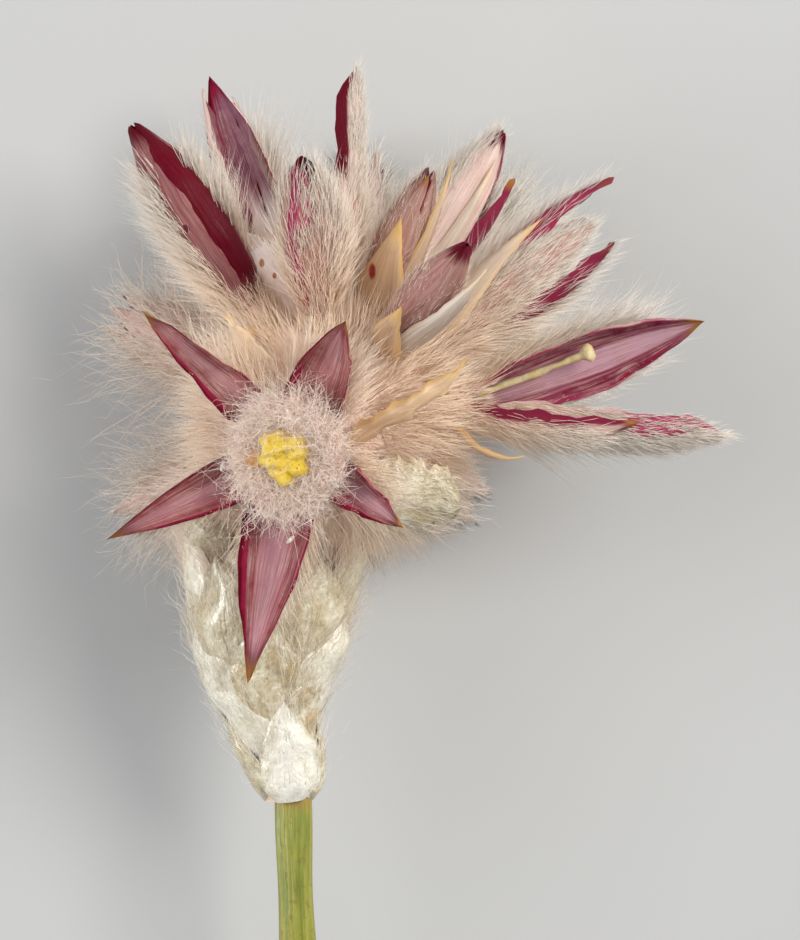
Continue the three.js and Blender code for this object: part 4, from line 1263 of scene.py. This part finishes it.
def bracteole_sheet(flower, blade):
    t = np.linspace(0, LAST_ROW, 18)
    given = {**blade, "gape": blade.get("gape", flower["belly"] + 0.3)}
    outside = blade.get("outside", BRACTEOLE["outside"]) + 0.15
    middle, back, side = blade_line(flower, given, t)
    _, axis, _, _ = place_of(flower)
    raised = axis * BRACTEOLE["raised"]
    width = blade.get("half_width", BRACTEOLE["half_width"])
    width = width * lanceolate(t, BRACTEOLE["foot"], BRACTEOLE["widest"], 1.3)
    middle = middle + back * outside + raised
    sheet = Sheet.boat(
        middle, back, side, width, BRACTEOLE["thickness"], BRACTEOLE["fold"], np.linspace(-1, 1, 9), 0.03
    )
    tip = blade_line(flower, given, [1.0])[0][0] + back[-1] * outside + raised
    return sheet, tip


def shown_share(normal):
    """Fewer hairs where they face the table."""
    return np.clip(0.75 + 0.6 * unit(normal)[..., 2], 0.35, 1)


def tepal_bed(bed, flower, blade):
    """Lays the hairs' bed on a tepal's back: short flat hairs towards the viewer, long loose ones aside."""
    sheet, _ = tepal_sheet(flower, blade, 0, 0, *BED_GRID)
    slope = unit(np.gradient(sheet.inner[:, 5], axis=0))
    u, t = sheet.u[None, :], sheet.t[:, None]
    lean = flower.get("lean", 1) * blade.get("lean", 1)
    hair = flower.get("hair", 1) * blade.get("hair", 1)
    normal = unit(sheet.back[:, None] + sheet.side[:, None] * (u * 0.75)[..., None])
    shown = np.interp(normal[..., 2], [0.3, 0.95], [0, 1])
    lean = lean * (1 - 0.5 * shown)
    grow = unit(slope[:, None] + normal * (0.3 * lean)[..., None])
    bend = normal * (0.5 * lean)[..., None]
    reach = hair * np.interp(t, [0, 0.15, 0.5, 1], [0.85, 0.9, 0.72, 0.4]) * (1 - 0.4 * shown)
    furry = blade.get("furry", flower.get("plain", 0))
    thick = np.interp(t, [0, 0.08, 0.74 + 0.14 * furry, 0.84 + 0.12 * furry], [0.3, 1, 1, furry])
    thick = thick * np.where(np.abs(u) > 0.9, 0.4, 1)
    thick = thick * hair_share(flower, blade, *np.broadcast_arrays(u, t))
    thick = thick * flower.get("dense", 1) * blade.get("dense", 1) * shown_share(normal) * (1 - 0.3 * shown)
    bed.add(sheet.outer - sheet.back[:, None] * 0.06, grow, bend, reach, thick)


def tube_bed(bed, flower):
    """Lays the bed of the long hairs that rise round a flower's tube."""
    root, axis, front, side = place_of(flower)
    along = np.linspace(TUBE["sunk"] - 0.2, TUBE["sunk"] + TUBE["standing"] + 0.6, 5)
    angles = np.linspace(0, 360, 13)
    out = np.array([turned(front, side, a) for a in angles])
    grid = root + axis * along[:, None, None] + out[None] * 0.8
    normal = np.broadcast_to(out[None], grid.shape)
    grow = unit(axis + normal * 0.3)
    shown = np.interp(normal[..., 2], [0.2, 0.9], [0, 1])
    reach = flower.get("hair", 1) * flower.get("tube_hair", 1) * (1 - 0.45 * shown)
    bed.add(grid, grow, normal * 0.3, reach, shown_share(normal) * flower.get("dense", 1))


def knob_bed(bed):
    """Lays the bed of the hairs on the knob, clear of the open flower and the cup."""
    turns = np.linspace(0, 360, 37)
    rises = np.linspace(-80, 80, 17)
    out = np.array([[direction(turn, rise) for turn in turns] for rise in rises])
    star = direction(FLOWERS["flower_star"]["turn"], FLOWERS["flower_star"]["rise"])
    thick = KNOB_HAIR["thick"] * shown_share(out)
    clearings = [(direction(turn, rise), wide) for turn, rise, wide in KNOB_CLEARINGS]
    for middle, wide in [(star, STAR_CLEARING), (-cup_axis(), CUP_CLEARING), *clearings]:
        thick = np.where(out @ middle < math.cos(math.radians(wide)), thick, 0)
    combed = unit(out * [1.0, 1.0, 0.3] + 0.001)
    bed.add(HEAD + out * (KNOB_RADIUS + 0.05), combed, out * 0.1, KNOB_HAIR["reach"], thick)


def cup_bed(bed):
    """Lays the bed of the hairs between the knob and the bracts, at the back and the sides of the cup."""
    front, side = around(cup_axis())
    heights = np.linspace(CUP_HAIR["low"], CUP_HAIR["high"], 6)
    out = np.array([turned(front, side, angle) for angle in np.linspace(0, 360, 25)])
    grid = cup_points(out[None], CUP_HAIR["radius"], heights[:, None])
    outward = np.broadcast_to(out[None], grid.shape)
    thick = CUP_HAIR["thick"] * shown_share(outward) * (outward[..., 2] < CUP_HAIR["facing"])
    bed.add(grid, unit(cup_axis() * 0.9 + outward * 0.5), outward * 0.2, CUP_HAIR["reach"], thick)


def bract_bed(bed, sheet, first=-1):
    """Lays the bed of a bract's flat silky hairs, from the place first across it."""
    slope = unit(np.gradient(sheet.inner[:, len(sheet.u) // 2], axis=0))
    back = unit(sheet.outer - sheet.inner)
    grow = unit(np.broadcast_to(slope[:, None], sheet.outer.shape) + back * 0.15)
    edges = 0.35 + 0.9 * np.abs(sheet.u[None, :]) ** 3
    thick = np.interp(sheet.t, [0, 0.35, 0.8, 1], [0, 0.3, 1, 0.8])[:, None] * edges * shown_share(back)
    bed.add(sheet.outer, grow, back * 0.3, 0.55, np.where(sheet.u[None, :] < first, 0, thick))


def wrapped_bract(row, turn, phase):
    """A bract that wraps round the cup and stands a little off it towards its tip."""
    front, side = around(cup_axis())
    t, u = np.linspace(0, LAST_ROW, 24), np.linspace(-1, 1, 17)
    height = row["height"] + row["length"] * t
    raised = row.get("slant", 0) * (1 - t[:, None]) ** 2 * (0.15 * u**2 - 0.25 * u)[None, :]
    radius = np.interp(height, CUP_HEIGHTS, CUP_RADII)
    lift = np.interp(t, [0, 0.12, 0.5, 1], [-BRACT["sunk"], 0.02, 0.72 * row["flare"], row["flare"]])
    lift = lift + row.get("over", 0) * np.interp(t, [0, 0.15, 0.6, 1], [0, 0.8, 1, 0])
    widest, blunt = row.get("widest", BRACT["widest"]), row.get("blunt", 1.7)
    width = row["half_width"] * lanceolate(t, BRACT["foot"], widest, blunt)
    angle = math.radians(turn) + u[None, :] * (width / (radius + 0.4))[:, None]
    ripple = 0.05 * np.abs(u)[None, :] ** 2 * np.sin(t[:, None] * 17 + np.sign(u)[None, :] * 1.7 + phase)
    tuck = 0.16 * np.abs(u)[None, :] ** 2.5
    out = np.cos(angle)[..., None] * front + np.sin(angle)[..., None] * side
    inner = cup_points(out, (radius + lift)[:, None] + ripple - tuck, height[:, None] + raised)
    outer = inner + out * Sheet.depth(BRACT["thickness"], t, u)
    end = row["height"] + row["length"]
    reach = np.interp(min(end, CUP_HEIGHTS[-1]), CUP_HEIGHTS, CUP_RADII) + row["flare"]
    tip = cup_points(turned(front, side, turn), reach, end)
    return Sheet(inner, outer, out[:, 8], np.cross(cup_axis(), out[:, 8]), t, u), tip


def bract_sheets():
    """The bracts of the cup and those under the flowers, with their tips and colours."""
    made = []
    for row in BRACT_ROWS:
        for turn in row["turns"]:
            sheet, tip = wrapped_bract(row, turn, len(made) * 2.1)
            made.append((sheet, tip, {"hairy": True, **BRACT_COLOURS.get(len(made), {})}))
    t = np.linspace(0, LAST_ROW, 36)
    for k, bract in enumerate(SIDE_BRACTS):
        start, end = np.array(bract["from"], float), np.array(bract["to"], float)
        along = end - start
        ahead = unit(along)
        out = np.array(bract["out"], float)
        back = np.broadcast_to(unit(out - ahead * (out @ ahead)), (len(t), 3))
        middle = start + t[:, None] * along + back * (bract.get("bulge", 0.5) * np.sin(np.pi * t))[:, None]
        width = bract["half_width"] * lanceolate(t, BRACT["foot"], BRACT["widest"], bract.get("blunt", 1.8))
        width = width * (1 + bract.get("ragged", 0) * (np.sin(t * 29) + np.sin(t * 61 + 1)))
        sheet = Sheet.boat(
            middle + back * 0.2, back, unit(np.cross(along, back[0])), width, BRACT["thickness"],
            BRACT["fold"], np.linspace(-1, 1, 17), 0.14, k * 1.3,
        )
        golden = "golden" in bract
        marks = {"slot": 3, "tone": bract["golden"]} if golden else {"tone": bract.get("brown", 0)}
        marks["hairy"] = bract.get("hairy", not golden)
        marks["light"] = bract.get("one_sided", 0)
        made.append((sheet, end + back[0] * 0.2, marks))
    return made


def crumpled(points, size, height, seed):
    """Moves points in and out by a smooth noise, in millimetres."""
    noise.seed_set(CRUMPLE_DRAW)
    moved = np.array(points)
    for i, point in enumerate(points):
        at = Vector(point) / size + Vector((seed, seed * 1.7, 0))
        moved[i] += np.array(noise.noise_vector(at)) * height
    return moved


def lump_piece(name, lumps, voxel, ripple, material):
    """Ellipsoids fused into one soft form: (centre, radius, stretch, axis) in millimetres."""
    mesh = bpy.data.meshes.new(name)
    bm = bmesh.new()
    for centre, radius, stretch, axis in lumps:
        made = bmesh.ops.create_icosphere(bm, subdivisions=3, radius=radius)["verts"]
        turn = Vector((0, 0, 1)).rotation_difference(Vector(axis))
        for vertex in made:
            vertex.co.z *= stretch
            vertex.co = turn @ vertex.co + Vector(centre)
    bmesh.ops.scale(bm, vec=(MM, MM, MM), verts=bm.verts)
    bm.to_mesh(mesh)
    bm.free()
    source = linked(bpy.data.objects.new(name + " source", mesh))
    fuse = source.modifiers.new("fuse", "REMESH")
    fuse.mode = "VOXEL"
    fuse.voxel_size = voxel * MM
    soften = source.modifiers.new("soften", "SMOOTH")
    soften.iterations = 4
    fused = bpy.data.meshes.new_from_object(source.evaluated_get(bpy.context.evaluated_depsgraph_get()))
    bpy.data.objects.remove(source)
    co = np.zeros(len(fused.vertices) * 3)
    fused.vertices.foreach_get("co", co)
    points = crumpled(co.reshape(-1, 3) / MM, 0.35, ripple, 5)
    fused.vertices.foreach_set("co", (points * MM).ravel())
    fused.shade_smooth()
    fused.materials.clear()
    fused.materials.append(material)
    fused.name = name
    return linked(bpy.data.objects.new(name, fused))


# The operators, one for each piece or group of like pieces.
class FLOWER_HEAD_OT_stem(bpy.types.Operator):
    """Make the ribbed stem that lies down on the table"""

    bl_idname = "flower_head.stem"
    bl_label = "Make Stem"

    def execute(self, context):
        settings = context.scene.flower_head.stem
        route = np.array(STEM_POINTS)
        lengths = lengths_along(route)
        steps = np.linspace(0, lengths[-1], 110)
        curve = smooth_route(route, lengths, steps)
        radii = np.full(len(steps), STEM_RADIUS - 0.04)
        radii += 0.03 * np.sin(steps * 1.1)
        radii[0] *= 0.9
        heap = MeshHeap()
        heap.add(*tube_form(curve, radii, 48, 0.02))
        obj = heap.piece("ribbed_stem", [stem_finish(settings)])
        settle(obj, "stem", "stem")
        return {"FINISHED"}


class FLOWER_HEAD_OT_bracts(bpy.types.Operator):
    """Make the knob, the cup and the papery bracts round it"""

    bl_idname = "flower_head.bracts"
    bl_label = "Make Bracts"

    def execute(self, context):
        settings = context.scene.flower_head.bracts
        heap = MeshHeap()
        heights = np.linspace(-0.08, CUP_HEIGHT, 30)
        spine = cup_points(np.zeros(3), 0.0, heights)
        radii = np.interp(heights, CUP_HEIGHTS, CUP_RADII)
        radii = radii * np.interp(heights, [0, 2.5, 9.5, CUP_HEIGHT], [0.88, 1, 1, 0.55])
        heap.add(*tube_form(spine, radii, 32), slot=2)
        ball = bmesh.new()
        bmesh.ops.create_icosphere(ball, subdivisions=5, radius=KNOB_RADIUS)
        ball.verts.ensure_lookup_table()
        knob = np.array([v.co for v in ball.verts]) + HEAD
        knob = crumpled(knob, 1.1, 0.45, 2)
        faces = [tuple(v.index for v in f.verts) for f in ball.faces]
        ball.free()
        heap.add(knob, faces, [(0.5, 0.5)] * len(knob), [False] * len(faces), slot=1)
        for i, (sheet, tip, marks) in enumerate(bract_sheets()):
            points, faces, lay, inner = sheet.closed(tip)
            rise = np.array([t for _, t in lay])[:, None]
            height = settings.crumple / MM
            rough = crumpled(crumpled(points, 2.2, height, i), 0.9, height * 0.3, i)
            points = points + (rough - points) * (0.25 + rise)
            heap.add(points, faces, lay, inner, **marks, seed=(i * 0.37) % 1)
        felt = felt_finish("head wool", (0.92, 0.72, 0.58), (0.86, 0.6, 0.48), 0.7)
        core = felt_finish("cup core", (0.8, 0.68, 0.52), (0.7, 0.52, 0.36), 1.2)
        gold = bracteole_paper(context.scene.flower_head.tepals)
        obj = heap.piece("papery_bracts", [bract_paper(settings), felt, core, gold])
        settle(obj, "bract", "bract_core")
        return {"FINISHED"}


class FLOWER_HEAD_OT_flowers(bpy.types.Operator):
    """Make each flower's tube, its five satin tepals and its bracteoles"""

    bl_idname = "flower_head.flowers"
    bl_label = "Make Flowers"

    def execute(self, context):
        settings = context.scene.flower_head.tepals
        materials = [tepal_satin(settings), bracteole_paper(settings), tube_finish()]
        for number, (name, flower) in enumerate(FLOWERS.items()):
            heap = MeshHeap()
            grid = BACK_GRID if name.startswith("back_") else TEPAL_GRID
            for i, blade in enumerate(tepals_of(flower)):
                sheet, tip = tepal_sheet(flower, blade, settings.wave / MM, number + i * 1.9, *grid)
                points, faces, lay, inner = sheet.closed(tip)
                across, along = np.array(lay).T
                heap.add(
                    points, faces, lay, inner, 0, bareness(flower, blade, across * 2 - 1, along).tolist(),
                    tone=blade.get("tone", 0.25),
                    dry=blade.get("dry", flower.get("dry", 0)),
                    plain=blade.get("plain", flower.get("plain", 0)),
                    light=blade.get("light", flower.get("light", 0.8 * name.startswith("back_"))),
                    seed=(number * 0.31 + i * 0.17) % 1,
                )
            for i, blade in enumerate(flower.get("bracteoles", [])):
                sheet, tip = bracteole_sheet(flower, blade)
                heap.add(*sheet.closed(tip), 1, tone=blade.get("pale", 0), seed=(number * 0.13 + i * 0.4) % 1)
            root, axis, _, _ = place_of(flower)
            along = np.linspace(0, TUBE["sunk"] + TUBE["standing"], 6)
            radii = np.interp(along, [0, along[-1]], [TUBE["root"], TUBE["mouth"]]) * 0.95
            heap.add(*tube_form(root + along[:, None] * axis, radii, 14), slot=2)
            obj = heap.piece(name + "_tepals", materials)
            settle(obj, "tepal", name)
        return {"FINISHED"}


class FLOWER_HEAD_OT_silk(bpy.types.Operator):
    """Grow the silky hairs on the tepals' backs, the knob and the bracts"""

    bl_idname = "flower_head.silk"
    bl_label = "Grow Silky Hairs"

    def execute(self, context):
        settings = context.scene.flower_head.silk
        finish = silk_finish("silky hair", settings.root, settings.tip)
        grey = silk_finish("loose hair", (0.78, 0.62, 0.48), (0.7, 0.63, 0.54))
        for number, (name, flower) in enumerate(FLOWERS.items()):
            bed = HairBed()
            shown = not name.startswith("back_")
            loose = flower.get("loose", 0)
            for blade in tepals_of(flower):
                tepal_bed(bed, flower, blade)
            tube_bed(bed, flower)
            obj = bed.grown(
                name + "_silk",
                density=settings.density * (1 if shown else BACK_HAIR["density"]) * (1 - 0.35 * loose),
                length=settings.length,
                radius=settings.radius * (1 if shown else BACK_HAIR["radius"] - 0.1 * loose),
                stray=0.15 + 0.25 * loose,
                clump=0.12 + 0.2 * loose,
                bow=0.25 + 0.3 * loose,
                kink=0.09 + 0.26 * loose,
                kinks=2.5 + 1.5 * loose,
                joints=2 + 2 * loose,
                seed=settings.seed + number,
                finish=grey if loose else finish,
            )
            settle(obj, "wool")
        bed = HairBed()
        for sheet, _, marks in bract_sheets():
            if marks["hairy"]:
                bract_bed(bed, sheet, -0.1 if marks.get("slot") else -1)
        fringe = bed.grown(
            "bract_silk", density=settings.density * 0.22, length=settings.length,
            radius=settings.radius * 0.8, stray=0.2, clump=0.3, bow=0.35, kink=0.3, kinks=4.0, joints=3,
            seed=settings.seed + 30,
            finish=silk_finish("bract hair", (0.86, 0.74, 0.58), (0.82, 0.77, 0.66)),
        )
        settle(fringe, "wool")
        bed = HairBed()
        knob_bed(bed)
        cup_bed(bed)
        knob = bed.grown(
            "knob_silk", density=settings.density * 1.2, length=settings.length,
            radius=settings.radius * 0.8, stray=0.24, clump=0.16, bow=0.3, kink=0.14, kinks=2.5, joints=2,
            seed=settings.seed + 40, finish=finish,
        )
        settle(knob, "wool")
        return {"FINISHED"}


class FLOWER_HEAD_OT_star_middle(bpy.types.Operator):
    """Make the open flower's curly wool and its yellow anthers"""

    bl_idname = "flower_head.star_middle"
    bl_label = "Make Star Middle"

    def execute(self, context):
        settings = context.scene.flower_head.middle
        silk = context.scene.flower_head.silk
        root, axis, front, side = place_of(FLOWERS["flower_star"])
        lumps = []
        for i in range(ANTHERS["count"]):
            out = turned(front, side, math.degrees(i * GOLDEN_ANGLE))
            height = ANTHERS["height"] + ANTHERS["radius"] * ANTHERS["stretch"] + 0.12 * (i % 3)
            centre = root + axis * height + out * ANTHERS["spread"] * math.sqrt(i / ANTHERS["count"])
            lumps.append((centre, ANTHERS["radius"], ANTHERS["stretch"], axis))
        anthers = lump_piece("star_yellow_anthers", lumps, 0.06, 0.08, anther_finish(settings))
        settle(anthers, "anther", "star_anthers")

        middle = (WOOL["inner"] + WOOL["outer"]) / 2
        half = (WOOL["outer"] - WOOL["inner"]) / 2
        centre = root + axis * (WOOL["height"] + WOOL["thickness"] / 2)
        lumps = []
        for i in range(WOOL["lumps"]):
            a = 2 * math.pi * i / WOOL["lumps"]
            out = front * math.cos(a) + side * math.sin(a)
            lumps.append((centre + out * middle, half * 0.75, WOOL["thickness"] / 2 / half / 0.9, axis))
        felt = felt_finish("ring wool", (0.86, 0.66, 0.55), (0.66, 0.4, 0.32), 0.5)
        ring = lump_piece("star_wool_ring", lumps, 0.12, 0.2, felt)
        settle(ring, "wool", "star_wool")

        bed = HairBed()
        round_angles = np.linspace(0, 2 * math.pi, 49)
        over = np.linspace(-1, math.pi + 0.8, 11)
        out = np.cos(round_angles)[:, None] * front + np.sin(round_angles)[:, None] * side
        radial, upward = np.cos(over), np.sin(over)
        normal = out[:, None] * radial[None, :, None] + axis * upward[None, :, None]
        grid = (
            centre
            + out[:, None] * (middle - 0.15 + half * 0.85 * radial)[None, :, None]
            + axis * (WOOL["thickness"] / 2 * upward)[None, :, None]
        )
        lie = np.cross(axis, out)[:, None] * 0.6
        loose = 0.75 + 0.5 * np.sin(round_angles * 5 + 1) * np.sin(round_angles * 3)
        reach = np.broadcast_to(loose[:, None], grid.shape[:2])
        bed.add(grid - normal * 0.1, unit(normal + lie), -normal, reach, 1.0)
        # The curly wool's hairs have a stronger painted glow than the silk.
        curls = bed.grown(
            "star_curly_wool", density=settings.curls, length=WOOL["curl"] * MM, radius=silk.radius * 0.9,
            stray=1.1, clump=0.6, bow=0.8, kink=0.5, kinks=5.0, joints=6, seed=silk.seed + 60,
            finish=silk_finish("curly wool", settings.wool, (0.97, 0.86, 0.76), 0.12),
        )
        settle(curls, "wool")

        scales = [(np.array(place), 0.09, 2.4, unit(lie)) for place, lie in PALE_SCALES]
        horn = felt_finish("pale scale", (0.92, 0.86, 0.78), (0.86, 0.76, 0.62), 0.2)
        flakes = lump_piece("star_pale_scales", scales, 0.03, 0.02, horn)
        settle(flakes, "wool")
        blob = [(np.array(place), radius, stretch, axis) for place, radius, stretch in SMALL_ANTHER]
        brown = felt_finish("small anther", (0.8, 0.5, 0.24), (0.62, 0.3, 0.12), 0.3)
        small = lump_piece("star_small_anther", blob, 0.05, 0.06, brown)
        settle(small, "anther")
        return {"FINISHED"}


class FLOWER_HEAD_OT_style(bpy.types.Operator):
    """Make the style and its knob-like stigma"""

    bl_idname = "flower_head.style"
    bl_label = "Make Style"

    def execute(self, context):
        settings = context.scene.flower_head.middle
        root, axis, front, side = place_of(FLOWERS["flower_east"])
        route = np.array([root + axis * a + front * f + side * s for a, f, s in STYLE_POINTS])
        lengths = lengths_along(route)
        steps = np.linspace(0, lengths[-1] + 0.35, 40)
        curve = smooth_route(route, lengths, np.minimum(steps, lengths[-1]))
        ahead = unit(curve[20] - curve[10])
        past = np.maximum(steps - lengths[-1], 0)
        curve = curve + past[:, None] * ahead
        share = steps / steps[-1]
        radii = np.interp(share, STYLE_SHARES, STYLE_RADII)
        heap = MeshHeap()
        vertices, faces, lay, inner = tube_form(curve, radii, 20)
        heap.add(crumpled(vertices, 0.4, 0.06, 3), faces, lay, inner)
        obj = heap.piece("east_cream_style", [style_finish(settings)])
        settle(obj, "style", "east_style")
        return {"FINISHED"}


class FLOWER_HEAD_OT_stage(bpy.types.Operator):
    """Make the table, the soft lights and the camera"""

    bl_idname = "flower_head.stage"
    bl_label = "Make Stage"

    def execute(self, context):
        settings = context.scene.flower_head.stage
        scene = context.scene
        mesh = bpy.data.meshes.new("table_top")
        s = TABLE_HALF
        mesh.from_pydata([(-s, -s, 0), (s, -s, 0), (s, s, 0), (-s, s, 0)], [], [(0, 1, 2, 3)])
        mesh.materials.append(table_finish(settings))
        floor = linked(bpy.data.objects.new("table_top", mesh))
        middle = Vector(VIEW_CENTRE) * MM
        for name, away, size, key, share, tint in LIGHTS:
            data = bpy.data.lights.new(name, "AREA")
            data.shape = "DISK"
            data.size = size
            data.energy = getattr(settings, key) * share
            data.color = tint
            light = linked(bpy.data.objects.new(name, data))
            light.location = middle + Vector(away)
            light.rotation_euler = (-Vector(away)).to_track_quat("-Z", "Y").to_euler()
        world = bpy.data.worlds.new("studio")
        world.use_nodes = True
        background = world.node_tree.nodes["Background"]
        background.inputs["Color"].default_value = (0.9, 0.93, 1, 1)
        background.inputs["Strength"].default_value = 0.4
        scene.world = world
        camera = bpy.data.cameras.new("camera")
        camera.sensor_width = 36
        camera.lens = camera.sensor_width * settings.distance / (VIEW_HEIGHT * MM)
        camera.clip_start, camera.clip_end = 0.01, 5
        eye = linked(bpy.data.objects.new("camera", camera))
        eye.location = middle + Vector((0, 0, settings.distance))
        scene.camera = eye
        scene.view_settings.view_transform = "Standard"
        return {"FINISHED"}


class FLOWER_HEAD_PT_panel(bpy.types.Panel):
    """Lists the makers of the flower head's pieces"""

    bl_label = "Flower Head"
    bl_idname = "FLOWER_HEAD_PT_panel"
    bl_space_type = "VIEW_3D"
    bl_region_type = "UI"
    bl_category = "Flower Head"

    def draw(self, context):
        layout = self.layout
        settings = context.scene.flower_head
        for operator in OPERATORS:
            layout.operator(operator.bl_idname)
        for name in HeadSettings.__annotations__:
            group = getattr(settings, name)
            box = layout.box()
            for key in group.__annotations__:
                box.prop(group, key)


OPERATORS = (
    FLOWER_HEAD_OT_stem,
    FLOWER_HEAD_OT_bracts,
    FLOWER_HEAD_OT_flowers,
    FLOWER_HEAD_OT_silk,
    FLOWER_HEAD_OT_star_middle,
    FLOWER_HEAD_OT_style,
    FLOWER_HEAD_OT_stage,
)
CLASSES = (
    TepalSettings,
    SilkSettings,
    BractSettings,
    StemSettings,
    MiddleSettings,
    StageSettings,
    HeadSettings,
    *OPERATORS,
    FLOWER_HEAD_PT_panel,
)


def register():
    for cls in CLASSES:
        bpy.utils.register_class(cls)
    bpy.types.Scene.flower_head = PointerProperty(type=HeadSettings)


def unregister():
    del bpy.types.Scene.flower_head
    for cls in reversed(CLASSES):
        bpy.utils.unregister_class(cls)


def main():
    register()
    for make in (
        bpy.ops.flower_head.stem,
        bpy.ops.flower_head.bracts,
        bpy.ops.flower_head.flowers,
        bpy.ops.flower_head.silk,
        bpy.ops.flower_head.star_middle,
        bpy.ops.flower_head.style,
        bpy.ops.flower_head.stage,
    ):
        make()


if __name__ == "__main__":
    main()
